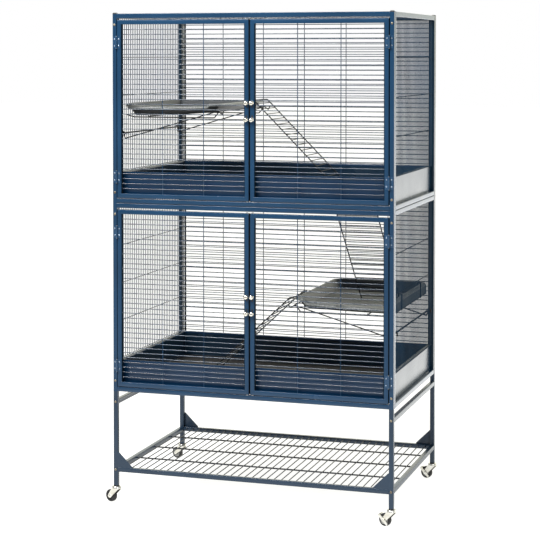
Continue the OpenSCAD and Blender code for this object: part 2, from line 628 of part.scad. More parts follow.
module shelf_bracket(b) {
    zb = b + rim_z - pan_h;          // underside of the pan
    xw = xi - 0.6;                   // wire lying along the wall
    xh = px + bracket / 2 + 1.9;     // hook end behind the cross wire
    zc = b + cross_z[1];
    r = bracket / 2;
    zr = zb - bracket - r + 0.7;     // runners
    zt = zb - r - 0.02;              // cross member under the pan
    xf = shelf_x0 + 5;               // cross member at the free end
    xm = shelf_x0 + 250;
    for (s = [-1, 1]) {
        // hook over the side panel's cross wire
        rod([xh, s * hook_y, zc - 8], [xh, s * hook_y, zc + 4.3 + wire / 2], bracket - 0.3);
        rod([xh + 1.6, s * hook_y, zc + wire / 2 + r + 0.3], [xw - 1.6, s * hook_y, zc + wire / 2 + r + 0.3], bracket);
        rod([xw, s * hook_y, zc + 4.3 + wire / 2], [xw, s * hook_y, b + 213], bracket - 0.3);
        // runner under the pan, bent up to the free end
        rod([xw + 1.6, s * 236, zr], [shelf_x0 + 22, s * 236, zr], bracket);
        rod([shelf_x0 + 23.5, s * 236, zr - 0.8], [xf - 0.8, s * 236, b + 304.8], bracket - 0.4);
        // strut from the wall up to the free end, its ends bent
        rod([xw, s * 248, b + 203.8], [xw, s * 248, b + 221.8], bracket - 0.3);
        rod([xw + 0.7, s * 248, b + 206.8], [shelf_x0 + 3, s * 248, b + 304.5], bracket);
        rod([shelf_x0 + 11, s * 248.4, b + 304], [shelf_x0 - 10.6, s * 248.4, b + 293], bracket - 0.5);
        rod([shelf_x0 - 9.6, s * 248, b + 292], [shelf_x0 - 14, s * 248, b + 306], bracket - 0.2);
        // ends of the cross member, dipping below the pan
        rod([xm, s * 236, zt + 0.5], [xm, s * 243.5, b + 279], bracket - 0.6);
        rod([xm, s * 243, b + 279], [xm, s * 249.6, b + 288], bracket - 0.9);
        // clip over the rim at the wall
        rod([xw, s * 140, zr - 2.1], [xw, s * 140, b + 341], bracket - 0.3);
        rod([xw + 1.3, s * 140, b + 339.4], [xw - 12, s * 140, b + 339.4], bracket - 0.5);
        rod([xw - 11, s * 140, b + 340.6], [xw - 11, s * 140, b + 329.5], bracket - 0.3);
    }
    rod([xm, -237, zt], [xm, 237, zt], bracket);
    rod([xf, -250, b + 303.6], [xf, 250, b + 303.6], bracket - 0.2);
    rod([xw, -238, zr], [xw, 238, zr], bracket - 0.4);
    rod([xw, -254, b + 220], [xw, 254, b + 220], bracket);
}
module shelf_bracket_lower() { color("#24282c") at_origin() shelf_bracket(b0); }
module shelf_bracket_upper() { color("#24282c") at_origin() mirror([1, 0, 0]) shelf_bracket(b1); }

// --------------------------------------------------------------- ladders

// ladder lying in the XZ plane: top bar at [0, 0], bend at p1, foot at p2, rails at y and y + w
module ladder(p1, p2, y, w) {
    r = lad_wire / 2;
    d = (p2 - p1) / norm(p2 - p1);
    l = norm(p2 - p1);
    for (k = [y, y + w]) chain([[0, k, 0], [p1[0], k, p1[1]], [p2[0], k, p2[1]]], lad_wire);
    // round bar the ladder turns on
    translate([0, y - r - 0.7, 0]) rotate([-90, 0, 0]) cylinder(r = lad_bar_r, h = w + 2 * r + 1.4, $fn = 24);
    n = floor((l - 22) / rung_pitch);
    for (i = [0 : n]) {
        q = p1 + d * (16 + i * rung_pitch);
        rod([q[0], y - r, q[1]], [q[0], y + w + r, q[1]], rung_wire);
    }
}

lad_bar = rim_z + lad_bar_r + 0.05;   // bar height above the tier's edge
lad_foot = tray_z + tray_t + lad_wire / 2 + 0.2;

// from the lower shelf's free edge down to the lower tray
module ladder_lower() {
    color("#24282c") at_origin() translate([shelf_x0 + 6, 0, b0 + lad_bar])
        ladder([-11, 0], [-343, lad_foot - lad_bar], -262, ladder_w);
}
// from the upper shelf's free edge down to the upper tray
module ladder_upper() {
    color("#24282c") at_origin() translate([-shelf_x0 - 6, 0, b1 + lad_bar])
        ladder([11, 0], [321, lad_foot - lad_bar], 97, ladder_w);
}
// from the hole in the upper tray down to the lower shelf
module ladder_middle() {
    zt = b1 + tray_z + tray_t + lad_bar_r + 0.05;
    zf = b0 + rim_z - pan_h + pan_t + lad_wire / 2 + 0.3;
    color("#24282c") at_origin() translate([hole_x + 15, hole_y - 3.5, zt]) {
        r = lad_wire / 2;
        w = 133;
        dz = zt - zf;
        yb = 7.5;
        yf = 328.5;
        for (k = [0, w]) chain([[k, 0, 0], [k, yb, 0], [k, yb, -34], [k, yf, -dz]], lad_wire);
        translate([-r - 0.7, 0, 0]) rotate([0, 90, 0]) cylinder(r = lad_bar_r, h = w + 2 * r + 1.4, $fn = 24);
        v = [yf - yb, -dz + 34];
        l = norm(v);
        u = v / l;
        for (i = [0 : floor((l - 22) / rung_pitch)]) {
            q = [yb, -34] + u * (12 + i * rung_pitch);
            rod([-r, q[0], q[1]], [w + r, q[0], q[1]], rung_wire);
        }
    }
}

// ------------------------------------------------------------------ draw

stand_front_frame();
stand_rear_frame();
stand_side_left();
stand_side_right();
stand_shelf_grid();
stand_bolts();
leg_plugs();
caster_stems();
caster_fork_fl();
caster_fork_fr();
caster_fork_rl();
caster_fork_rr();
caster_wheel_fl();
caster_wheel_fr();
caster_wheel_rl();
caster_wheel_rr();
brake_lever_fr();
brake_lever_rr();
lower_front_frame();
lower_rear_panel();
lower_side_left();
lower_side_right();
upper_front_frame();
upper_rear_panel();
upper_side_left();
upper_side_right();
roof_panel();
post_connectors();
post_caps();
cage_bolts();
lower_tray();
upper_tray();
lower_tray_runners();
upper_tray_runners();
door_lower_left();
door_lower_right();
door_upper_left();
door_upper_right();
hinge_fixed_leaves();
hinge_pins();
hinge_leaves_lower_left();
hinge_leaves_lower_right();
hinge_leaves_upper_left();
hinge_leaves_upper_right();
bolt_lower_left_up();
bolt_lower_left_down();
bolt_lower_right_up();
bolt_lower_right_down();
bolt_upper_left_up();
bolt_upper_left_down();
bolt_upper_right_up();
bolt_upper_right_down();
shelf_pan_lower();
shelf_pan_upper();
shelf_bracket_lower();
shelf_bracket_upper();
ladder_lower();
ladder_upper();
ladder_middle();
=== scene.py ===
import bpy, bmesh, math
import numpy as np
from mathutils import Vector, Matrix


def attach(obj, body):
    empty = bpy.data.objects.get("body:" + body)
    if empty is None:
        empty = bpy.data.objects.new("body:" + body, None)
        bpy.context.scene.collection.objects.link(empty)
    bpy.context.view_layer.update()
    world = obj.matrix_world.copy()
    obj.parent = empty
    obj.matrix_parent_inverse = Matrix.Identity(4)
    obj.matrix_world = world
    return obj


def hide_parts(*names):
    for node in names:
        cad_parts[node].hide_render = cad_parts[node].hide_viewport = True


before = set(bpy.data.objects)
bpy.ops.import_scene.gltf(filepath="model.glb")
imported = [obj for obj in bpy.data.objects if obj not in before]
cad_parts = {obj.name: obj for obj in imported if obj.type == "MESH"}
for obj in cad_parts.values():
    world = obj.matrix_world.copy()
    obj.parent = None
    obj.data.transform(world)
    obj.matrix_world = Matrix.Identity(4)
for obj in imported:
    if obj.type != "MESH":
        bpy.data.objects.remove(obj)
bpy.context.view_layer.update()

# ------------------------------------------------------------ dimensions, mm
OX, OY = 15.0, 0.0
XO, YO = 475.0, 315.0
T = 14.0
XI, YI = XO - T, YO - T
PX, PY = XO - T / 2, YO - T / 2
LEG = 15.0
LX, LY = XO - LEG / 2, YO - LEG / 2
TH = 624.0
B0, B1 = 372.0, 996.0
TOP = 1620.0
CAP = 1.5
RB, RT = 15.0, 16.0
WIRE = 2.8
PITCH = 16.3
LAP = WIRE * 0.9
DX0, DX1 = 2.5, XI - 2.5
DY0, DY1 = -YO - 2, -YI - 2
DZ0, DZ1 = 17.0, TH - 21
ST, DR = 14.0, 15.0
HX, HY = XI - 1.25, -YO - 5.5
BX = DX0 + ST / 2
CROSS = (104.0, 229.0, 354.0, 480.0)
TX, TY, TZ, TRAY_H = XI - 6, YI - 3, 17.0, 86.0
SX0 = XI - 3 - 333.0
RIM = 328.0
PAN_H = 41.0


# ---------------------------------------------------------------- materials
def new_mat(name):
    m = bpy.data.materials.new(name)
    m.use_nodes = True
    nt = m.node_tree
    nt.nodes.clear()
    out = nt.nodes.new("ShaderNodeOutputMaterial")
    bs = nt.nodes.new("ShaderNodeBsdfPrincipled")
    nt.links.new(bs.outputs[0], out.inputs[0])
    return m, nt, bs


def node(nt, kind, **kw):
    n = nt.nodes.new(kind)
    for k, v in kw.items():
        if k in n.inputs:
            n.inputs[k].default_value = v
        else:
            setattr(n, k, v)
    return n


def coord(nt):
    return nt.nodes.new("ShaderNodeTexCoord").outputs["Object"]


def ramp(nt, fac, stops):
    r = nt.nodes.new("ShaderNodeValToRGB")
    cr = r.color_ramp
    while len(cr.elements) > 1:
        cr.elements.remove(cr.elements[-1])
    cr.elements[0].position = stops[0][0]
    cr.elements[0].color = (*stops[0][1], 1)
    for p, c in stops[1:]:
        e = cr.elements.new(p)
        e.color = (*c, 1)
    nt.links.new(fac, r.inputs[0])
    return r.outputs[0]


def powder(name, col, rough=0.42, grain=900.0, bump=0.06, metal=0.0, spec=0.5, vary=0.12, dirt=0.0):
    """Powder-coated steel: fine orange peel, slow colour drift, slightly varying gloss."""
    m, nt, bs = new_mat(name)
    c = coord(nt)
    slow = node(nt, "ShaderNodeTexNoise", Scale=6.0, Detail=3.0)
    nt.links.new(c, slow.inputs["Vector"])
    fine = node(nt, "ShaderNodeTexNoise", Scale=grain, Detail=2.0)
    nt.links.new(c, fine.inputs["Vector"])
    dark = tuple(v * (1 - vary) for v in col)
    lite = tuple(min(1, v * (1 + vary)) for v in col)
    base = ramp(nt, slow.outputs[0], [(0.3, dark), (0.7, lite)])
    nt.links.new(base, bs.inputs["Base Color"])
    mr = node(nt, "ShaderNodeMapRange")
    mr.inputs["To Min"].default_value = rough - 0.06
    mr.inputs["To Max"].default_value = rough + 0.08
    nt.links.new(slow.outputs[0], mr.inputs["Value"])
    nt.links.new(mr.outputs[0], bs.inputs["Roughness"])
    bp = node(nt, "ShaderNodeBump", Strength=bump, Distance=0.0004)
    nt.links.new(fine.outputs[0], bp.inputs["Height"])
    nt.links.new(bp.outputs[0], bs.inputs["Normal"])
    bs.inputs["Metallic"].default_value = metal
    bs.inputs["Specular IOR Level"].default_value = spec
    return m


def metal(name, col, rough=0.3, streak=0.12, tint=None, scale=300.0):
    """Plated metal with fine directional grain and light tarnish."""
    m, nt, bs = new_mat(name)
    c = coord(nt)
    mp = node(nt, "ShaderNodeMapping")
    mp.inputs["Scale"].default_value = (1, 1, 0.08)
    nt.links.new(c, mp.inputs["Vector"])
    fine = node(nt, "ShaderNodeTexNoise", Scale=scale, Detail=3.0)
    nt.links.new(mp.outputs[0], fine.inputs["Vector"])
    slow = node(nt, "ShaderNodeTexNoise", Scale=45.0, Detail=2.0)
    nt.links.new(c, slow.inputs["Vector"])
    t = tint or tuple(v * 0.8 for v in col)
    base = ramp(nt, slow.outputs[0], [(0.35, t), (0.65, col)])
    nt.links.new(base, bs.inputs["Base Color"])
    mr = node(nt, "ShaderNodeMapRange")
    mr.inputs["To Min"].default_value = rough - streak / 2
    mr.inputs["To Max"].default_value = rough + streak / 2
    nt.links.new(fine.outputs[0], mr.inputs["Value"])
    nt.links.new(mr.outputs[0], bs.inputs["Roughness"])
    bp = node(nt, "ShaderNodeBump", Strength=0.05, Distance=0.0003)
    nt.links.new(fine.outputs[0], bp.inputs["Height"])
    nt.links.new(bp.outputs[0], bs.inputs["Normal"])
    bs.inputs["Metallic"].default_value = 1.0
    return m


def plastic(name, col, rough=0.5, grain=600.0, bump=0.12, vary=0.1, speck_and_glint=None):
    m, nt, bs = new_mat(name)
    c = coord(nt)
    fine = node(nt, "ShaderNodeTexVoronoi", Scale=grain)
    nt.links.new(c, fine.inputs["Vector"])
    slow = node(nt, "ShaderNodeTexNoise", Scale=12.0, Detail=4.0)
    nt.links.new(c, slow.inputs["Vector"])
    dark = tuple(v * (1 - vary) for v in col)
    lite = tuple(min(1, v * (1 + vary)) for v in col)
    base = ramp(nt, slow.outputs[0], [(0.3, dark), (0.7, lite)])
    # speck_and_glint mixes a second colour into fine noise spots: real flecks in the moulding, and on the shelf pan's
    # rim, floor and end wall a painted glint
    if speck_and_glint:
        sp = node(nt, "ShaderNodeTexNoise", Scale=420.0, Detail=2.0)
        nt.links.new(c, sp.inputs["Vector"])
        f = ramp(nt, sp.outputs[0], [(0.42, (0, 0, 0)), (0.62, (1, 1, 1))])
        mx = node(nt, "ShaderNodeMix", data_type="RGBA")
        nt.links.new(f, mx.inputs[0])
        nt.links.new(base, mx.inputs[6])
        mx.inputs[7].default_value = (*speck_and_glint, 1)
        base = mx.outputs[2]
    nt.links.new(base, bs.inputs["Base Color"])
    mr = node(nt, "ShaderNodeMapRange")
    mr.inputs["To Min"].default_value = rough - 0.06
    mr.inputs["To Max"].default_value = rough + 0.1
    nt.links.new(slow.outputs[0], mr.inputs["Value"])
    nt.links.new(mr.outputs[0], bs.inputs["Roughness"])
    bp = node(nt, "ShaderNodeBump", Strength=bump, Distance=0.0005)
    nt.links.new(fine.outputs[0], bp.inputs["Height"])
    nt.links.new(bp.outputs[0], bs.inputs["Normal"])
    return m


M = {}
M["blue"] = powder("frame_blue_coat", (0.008, 0.040, 0.092), rough=0.20, spec=0.5, bump=0.02)
M["door"] = powder("door_blue_coat", (0.008, 0.042, 0.097), rough=0.24, spec=0.45, bump=0.03)
# the frame blue darkened for the rear posts, stiles and rails: painted shade at the back of the cage
M["rear"] = powder("rear_frame_painted_shade", (0.005, 0.021, 0.040), rough=0.22, spec=0.5, bump=0.02)
# near-black matte strips set into seams, gaps and along edges: painted shade
M["edge"] = powder("near_black_painted_shade", (0.003, 0.008, 0.014), rough=0.8, spec=0.05)
M["sidewire"] = powder("side_wire_coat", (0.004, 0.026, 0.056), rough=0.5, grain=1400, vary=0.2, spec=0.2, bump=0.0)
# hinge leaves in a lighter blue than the frame, though the coat is the same: painted sheen
M["hinge"] = powder("hinge_leaf_painted_sheen", (0.016, 0.058, 0.125), rough=0.26, spec=0.6)
M["wire"] = powder("grille_wire_coat", (0.006, 0.025, 0.058), rough=0.18, grain=1400, vary=0.2, spec=1.0, bump=0.0)
M["tray"] = powder("tray_blue_coat", (0.003, 0.025, 0.068), rough=0.20, grain=700, spec=0.5, bump=0.02)
M["doorwire"] = powder("door_upright_coat", (0.007, 0.036, 0.085), rough=0.5, grain=1400, vary=0.2, spec=0.2, bump=0.0)
# near-black copy of the wire coat for the right panel's cross wires: painted shade
M["crosswire_shade"] = powder("right_cross_wire_painted_shade", (0.003, 0.010, 0.018), rough=0.7, grain=1400, vary=0.2, spec=0.1, bump=0.0)
M["trayin"] = powder("tray_inner_coat", (0.009, 0.027, 0.052), rough=0.24, grain=700, spec=0.5, bump=0.02)
M["trayside"] = powder("tray_side_coat", (0.004, 0.024, 0.050), rough=0.22, grain=700, spec=0.36, bump=0.02)
M["panend"] = powder("shelf_end_coat", (0.020, 0.036, 0.048), rough=0.45, grain=500, spec=0.3)
M["trayfloor"] = plastic("tray_floor_coat", (0.020, 0.018, 0.018), rough=0.6, grain=500, vary=0.3, speck_and_glint=(0.060, 0.055, 0.052))
M["stand"] = powder("stand_coat", (0.018, 0.038, 0.068), rough=0.26, spec=0.42, bump=0.02)
M["grid"] = powder("grid_wire_coat", (0.010, 0.014, 0.022), rough=0.45, grain=1400)
M["zinc"] = metal("zinc_plate", (0.84, 0.835, 0.79), rough=0.3, tint=(0.68, 0.66, 0.58))
M["screw"] = metal("aged_zinc", (0.40, 0.36, 0.28), rough=0.38, tint=(0.22, 0.19, 0.15))
M["knob"] = metal("knob_polish", (0.95, 0.92, 0.84), rough=0.16, streak=0.06, tint=(0.88, 0.84, 0.74))
M["black"] = plastic("black_mould", (0.012, 0.012, 0.013), rough=0.45)
M["tyre"] = plastic("tyre_rubber", (0.012, 0.012, 0.013), rough=0.6, grain=900, bump=0.2)
M["hub"] = plastic("wheel_hub", (0.42, 0.42, 0.40), rough=0.45)
M["pan"] = plastic("shelf_mould", (0.034, 0.040, 0.044), rough=0.42, grain=500, speck_and_glint=(0.07, 0.075, 0.078))
# lighter grey copy of the shelf plastic for the free end's inner wall: painted light where that wall faces the light
M["pan_end_painted_light"] = plastic("shelf_inner_end_painted_light", (0.16, 0.16, 0.155), rough=0.5, grain=500, speck_and_glint=(0.26, 0.26, 0.25))
# shelf floor far lighter than the dark shelf plastic: painted sheen of light on its upward face
M["panfloor_sheen"] = plastic("shelf_floor_painted_sheen", (0.165, 0.172, 0.168), rough=0.75, grain=350, bump=0.5, vary=0.15, speck_and_glint=(0.34, 0.33, 0.29))
# rolled rim slightly lighter with bright specks: painted sparkle of highlights on the grain, besides the real bump and
# gloss
M["panrim"] = plastic("shelf_rim_painted_sparkle", (0.060, 0.066, 0.062), rough=0.34, grain=420, bump=0.35, vary=0.15, speck_and_glint=(0.26, 0.27, 0.26))
# outer wall of the pan, darker than the rest of the same moulding: painted shade under the rim
M["panwall"] = plastic("shelf_outer_wall_painted_shade", (0.018, 0.021, 0.024), rough=0.4, grain=500, speck_and_glint=(0.045, 0.048, 0.05))
# rivet heads in metal brightened to a light blue-grey: partly real shine, partly painted glint
M["rivet"] = metal("rivet_head_painted_glint", (0.46, 0.56, 0.68), rough=0.3, tint=(0.30, 0.38, 0.48))
M["bwire"] = powder("black_wire_coat", (0.005, 0.006, 0.008), rough=0.5, grain=1400, spec=0.25)


# ------------------------------------------------------------- mesh helpers
class Build:
    """Collects vertices and faces in millimetres in the row frame (before the origin shift)."""

    def __init__(self, mirror=False):
        self.v, self.f, self.m, self.s = [], [], [], []
        self.n = 0
        self.mats = []
        self.cur = 0
        self.mirror = mirror
        self.xf = None

    def use(self, key):
        if key not in self.mats:
            self.mats.append(key)
        self.cur = self.mats.index(key)
        return self

    def add(self, verts, faces, smooth=True):
        verts = np.asarray(verts, float)
        if self.xf is not None:
            verts = verts @ self.xf[:3, :3].T + self.xf[:3, 3]
        flip = self.mirror
        if flip:
            verts = verts * np.array([-1, 1, 1.0])
        base = self.n
        self.v.append(verts)
        for f in faces:
            f = [i + base for i in f]
            if flip:
                f = f[::-1]
            self.f.append(f)
            self.m.append(self.cur)
            self.s.append(smooth)
        self.n += len(verts)

    # straight round wire
    def wire(self, p, q, d, sides=10, caps=True):
        p, q = np.array(p, float), np.array(q, float)
        self.sweep([p, q], d, sides, caps)

    # round wire along points; bends rounded with radius br
    def sweep(self, pts, d, sides=10, caps=True, br=0.0, closed=False):
        pts = [np.array(p, float) for p in pts]
        if br > 0 and len(pts) > 2:
            new = [pts[0]]
            for a, b, c in zip(pts, pts[1:], pts[2:]):
                u, w = (a - b), (c - b)
                lu, lw = np.linalg.norm(u), np.linalg.norm(w)
                u, w = u / lu, w / lw
                ang = math.acos(max(-1, min(1, float(u @ w))))
                if ang > math.pi - 0.05:
                    new.append(b)
                    continue
                tl = min(br / math.tan(ang / 2), lu * 0.48, lw * 0.48)
                r = tl * math.tan(ang / 2)
                bis = (u + w) / np.linalg.norm(u + w)
                cen = b + bis * (r / math.sin(ang / 2))
                s0, s1 = b + u * tl - cen, b + w * tl - cen
                tot = math.pi - ang
                n = max(3, int(tot / 0.35))
                axis = np.cross(s0, s1)
                axis /= np.linalg.norm(axis)
                for i in range(n + 1):
                    th = tot * i / n
                    x = s0 * math.cos(th) + np.cross(axis, s0) * math.sin(th) + axis * (axis @ s0) * (1 - math.cos(th))
                    new.append(cen + x)
            new.append(pts[-1])
            pts = new
        n = len(pts)
        tang = []
        for i in range(n):
            a = pts[max(0, i - 1)]
            b = pts[min(n - 1, i + 1)]
            t = b - a
            tang.append(t / np.linalg.norm(t))
        t0 = tang[0]
        ref = np.array([0, 0, 1.0]) if abs(t0[2]) < 0.9 else np.array([1.0, 0, 0])
        nrm = np.cross(t0, ref)
        nrm /= np.linalg.norm(nrm)
        verts = []
        for i in range(n):
            t = tang[i]
            nrm = nrm - t * (nrm @ t)
            nrm /= np.linalg.norm(nrm)
            bi = np.cross(t, nrm)
            # keep the section's width at a bend
            k = 1.0
            if 0 < i < n - 1:
                a1 = pts[i] - pts[i - 1]
                a1 /= np.linalg.norm(a1)
                k = 1.0 / max(0.6, float(a1 @ t))
            for j in range(sides):
                a = 2 * math.pi * (j + 0.5) / sides
                verts.append(pts[i] + (nrm * math.cos(a) + bi * math.sin(a)) * d / 2 * (k if k < 1.3 else 1.3))
        faces = []
        for i in range(n - 1):
            for j in range(sides):
                k = (j + 1) % sides
                faces.append((i * sides + j, i * sides + k, (i + 1) * sides + k, (i + 1) * sides + j))
        self.add(verts, faces, True)
        if caps:
            self.add(verts[:sides], [tuple(range(sides))[::-1]], False)
            self.add(verts[-sides:], [tuple(range(sides))], False)

    # box with rounded edges; ends = the axis whose ends stay square cut
    def box(self, lo, hi, r=1.6, seg=2, ends=None):
        """ends: axis index along which only the long edges are rounded, like a tube cut square."""
        lo, hi = np.minimum(lo, hi).astype(float), np.maximum(lo, hi).astype(float)
        if ends is None:
            bm = bmesh.new()
            bmesh.ops.create_cube(bm, size=1.0)
            for v in bm.verts:
                v.co = Vector([(lo[i] + hi[i]) / 2 + v.co[i] * (hi[i] - lo[i]) for i in range(3)])
            bmesh.ops.bevel(bm, geom=bm.edges[:], offset=min(r, 0.45 * float((hi - lo).min())), segments=seg, profile=0.5, affect="EDGES")
            bm.verts.index_update()
            self.add([tuple(v.co) for v in bm.verts], [tuple(v.index for v in f.verts) for f in bm.faces], True)
            bm.free()
            return
        a = ends
        b, c = [i for i in range(3) if i != a]
        r = min(r, 0.45 * min(hi[b] - lo[b], hi[c] - lo[c]))
        ring = []
        corners = ((hi[b] - r, hi[c] - r, 0), (lo[b] + r, hi[c] - r, 90), (lo[b] + r, lo[c] + r, 180), (hi[b] - r, lo[c] + r, 270))
        for cx, cy, a0 in corners:
            for i in range(seg + 1):
                th = math.radians(a0 + 90 * i / seg)
                ring.append((cx + r * math.cos(th), cy + r * math.sin(th)))
        n = len(ring)
        verts = []
        for e in (lo[a], hi[a]):
            for x, y in ring:
                p = [0, 0, 0]
                p[a], p[b], p[c] = e, x, y
                verts.append(p)
        flip = a == 1
        side = []
        for j in range(n):
            k = (j + 1) % n
            q = (j, k, n + k, n + j)
            side.append(q[::-1] if flip else q)
        self.add(verts, side, True)
        c0, c1 = tuple(range(n))[::-1], tuple(range(n, 2 * n))
        if flip:
            c0, c1 = c0[::-1], c1[::-1]
        self.add(verts, [c0, c1], False)

    # surface of revolution about Z of (r, z) points, then placed by matrix
    def lathe(self, prof, seg=32, mat=None, smooth=True):
        verts, faces = [], []
        prof = [tuple(p) for p in prof]
        n = len(prof)
        for i in range(seg):
            a = 2 * math.pi * i / seg
            for r, z in prof:
                p = np.array([r * math.cos(a), r * math.sin(a), z, 1.0])
                if mat is not None:
                    p = mat @ p
                verts.append(p[:3])
        for i in range(seg):
            k = (i + 1) % seg
            for j in range(n - 1):
                if prof[j][0] < 1e-9 and prof[j + 1][0] < 1e-9:
                    continue
                if prof[j][0] < 1e-9:
                    faces.append((i * n + j, k * n + j + 1, i * n + j + 1))
                elif prof[j + 1][0] < 1e-9:
                    faces.append((i * n + j, k * n + j, i * n + j + 1))
                else:
                    faces.append((i * n + j, k * n + j, k * n + j + 1, i * n + j + 1))
        self.add(verts, faces, smooth)

    def obj(self, name, body, node=None, slot=None, shift=True, autosmooth=40):
        v = np.concatenate(self.v)
        if shift:
            v = (v + np.array([OX, OY, 0])) / 1000.0
        me = bpy.data.meshes.new(name)
        me.from_pydata([tuple(x) for x in v], [], [list(f) for f in self.f])
        for k in self.mats:
            me.materials.append(M[k])
        me.polygons.foreach_set("material_index", self.m)
        me.polygons.foreach_set("use_smooth", self.s)
        me.update()
        o = bpy.data.objects.new(name, me)
        bpy.context.scene.collection.objects.link(o)
        # weld the doubled end rings, then mark sharp edges by angle
        bm = bmesh.new()
        bm.from_mesh(me)
        bmesh.ops.remove_doubles(bm, verts=bm.verts[:], dist=1e-6)
        lim = math.radians(autosmooth)
        for e in bm.edges:
            e.smooth = len(e.link_faces) == 2 and e.calc_face_angle(0) < lim
        bm.normal_update()
        bm.to_mesh(me)
        bm.free()
        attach(o, body)
        if node:
            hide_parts(*([node] if isinstance(node, str) else node))
        return o


def rotx(d):
    a = math.radians(d)
    m = np.eye(4)
    m[1:3, 1:3] = [[math.cos(a), -math.sin(a)], [math.sin(a), math.cos(a)]]
    return m


def rotz(d):
    a = math.radians(d)
    m = np.eye(4)
    m[0:2, 0:2] = [[math.cos(a), -math.sin(a)], [math.sin(a), math.cos(a)]]
    return m


def at(x, y, z):
    m = np.eye(4)
    m[:3, 3] = (x, y, z)
    return m


# ------------------------------------------------------------ cage, by tier
def screw(b, x, z, s, y):
    """Round-headed cross-slot screw, head proud of the face at s*y."""
    m = at(x, s * y, z) @ rotx(-90 * s if s > 0 else 90)
    b.lathe([(0, -6), (2, -6), (2, -0.02), (4, -0.02), (4, 0.7), (3.4, 1.5), (2.2, 2.1), (1.2, 2.28), (0.9, 1.5), (0, 1.5)], 24, m)


def post_frame(b, base, s, cut):
    ya, yb = s * (YO - T), s * YO
    g0 = 0.8 if base == B1 else 0.0
    g1 = 0.8 if base == B0 else 0.0
    for m in (-1, 1):
        b.box((m * XI, ya, base), (m * XO, yb, base + TH - cut), 1.5, 3, ends=2)
    b.box((-XI, ya, base + g0), (XI, yb, base + RB), 1.5, 3, ends=0)
    b.box((-XI, ya, base + TH - RT), (XI, yb, base + TH - g1), 1.5, 3, ends=0)
    if g1:
        # painted shade: a near-black strip in the seam between the stacked rails
        old = b.mats[b.cur]
        b.use("edge")
        b.box((-XI, s * (YO - T + 1.6), base + TH - 2.4), (XI, s * (YO - 1.6), base + TH), 0.3, 1, ends=0)
        b.use(old)


def side_panel(b, base, m):
    for s in (-1, 1):
        # rear stiles take the darker rear coat: painted shade
        b.use("rear" if s > 0 else "blue")
        b.box((m * XI, s * (YI - T), base), (m * XO, s * YI, base + TH), 1.5, 3, ends=2)
    b.use("blue")
    g0 = 0.8 if base == B1 else 0.0
    g1 = 0.8 if base == B0 else 0.0
    b.box((m * XI, -YI + T, base + g0), (m * XO, YI - T, base + RB), 1.5, 3, ends=1)
    b.box((m * XI, -YI + T, base + TH - RT), (m * XO, YI - T, base + TH - g1), 1.5, 3, ends=1)
    if g1:
        # painted shade: a near-black strip in the seam between the stacked side rails
        b.use("edge")
        b.box((m * (XI + 1.2), -YI + T, base + TH - 2.4), (m * (XO - 1.2), YI - T, base + TH), 0.3, 1, ends=1)
    b.use("sidewire" if m > 0 else "wire")
    for i in range(-17, 18):
        b.wire((m * PX, i * PITCH, base + CROSS[0] - 1.2), (m * PX, i * PITCH, base + TH - RT + 0.6), WIRE, 10)
    for z in CROSS:
        # the right panel's cross wires take the near-black copy and the left ones the plain wire coat: painted shade on
        # the right
        b.use("crosswire_shade" if m > 0 else "wire")
        b.wire((m * (PX - LAP), -YI + T - 0.6, base + z), (m * (PX - LAP), YI - T + 0.6, base + z), WIRE, 10)


def rear_panel(b, base, cut):
    # the rear frame takes the darker rear coat: painted shade
    b.use("rear")
    post_frame(b, base, 1, cut)
    n = int((TH - RT - RB) // PITCH)
    zm = base + (TH - RT + RB) / 2
    yw = PY
    # near-black strips near each end of the rear grille: painted shade for the dark columns at the rear corners
    b.use("edge")
    for m in (-1, 1):
        b.box((m * (XI - 8.6), yw - 4, base + RB - 0.6), (m * (XI - 3.8), yw + 3, base + TH - RT + 0.6), 0.8, 2, ends=2)
    b.use("sidewire")
    for i in range(n):
        z = zm + (i - (n - 1) / 2) * PITCH
        b.wire((-XI - 0.4, yw, z), (XI + 0.4, yw, z), WIRE, 10)
    for x in (-307, -153.7, 0, 153.7, 307):
        b.wire((x, yw - LAP, base + RB - 0.6), (x, yw - LAP, base + TH - RT + 0.6), WIRE, 10)


for tier, base, cut in (("lower", B0, 0.0), ("upper", B1, CAP)):
    b = Build()
    b.use("blue")
    post_frame(b, base, -1, cut)
    b.obj(f"{tier}_front_frame_tubes", "cage", f"{tier}_front_frame", "frame_blue")
    b = Build()
    rear_panel(b, base, cut)
    b.obj(f"{tier}_rear_panel_grille", "cage", f"{tier}_rear_panel", "frame_blue")
    for nm, m in (("left", -1), ("right", 1)):
        b = Build()
        b.use("blue")
        side_panel(b, base, m)
        b.obj(f"{tier}_side_{nm}_grille", "cage", f"{tier}_side_{nm}", "frame_blue")

# roof
b = Build()
b.use("blue")
z0 = TOP - 12
t = 10.0
for s in (-1, 1):
    b.box((-XI, s * YI, z0), (XI, s * (YI - t), z0 + t), 1.2, 2, ends=0)
    b.box((s * XI, -YI + t, z0), (s * (XI - t), YI - t, z0 + t), 1.2, 2, ends=1)
b.use("wire")
n = int((2 * XI - 2 * t) / PITCH / 2)
for i in range(-n, n + 1):
    b.wire((i * PITCH, -YI + t - 0.6, z0 + 5), (i * PITCH, YI - t + 0.6, z0 + 5), WIRE, 10)
for y in (-150, 0, 150):
    b.wire((-XI + t - 0.6, y, z0 + 5 - LAP), (XI - t + 0.6, y, z0 + 5 - LAP), WIRE, 10)
b.obj("roof_panel_grille", "cage", "roof_panel", "frame_blue")

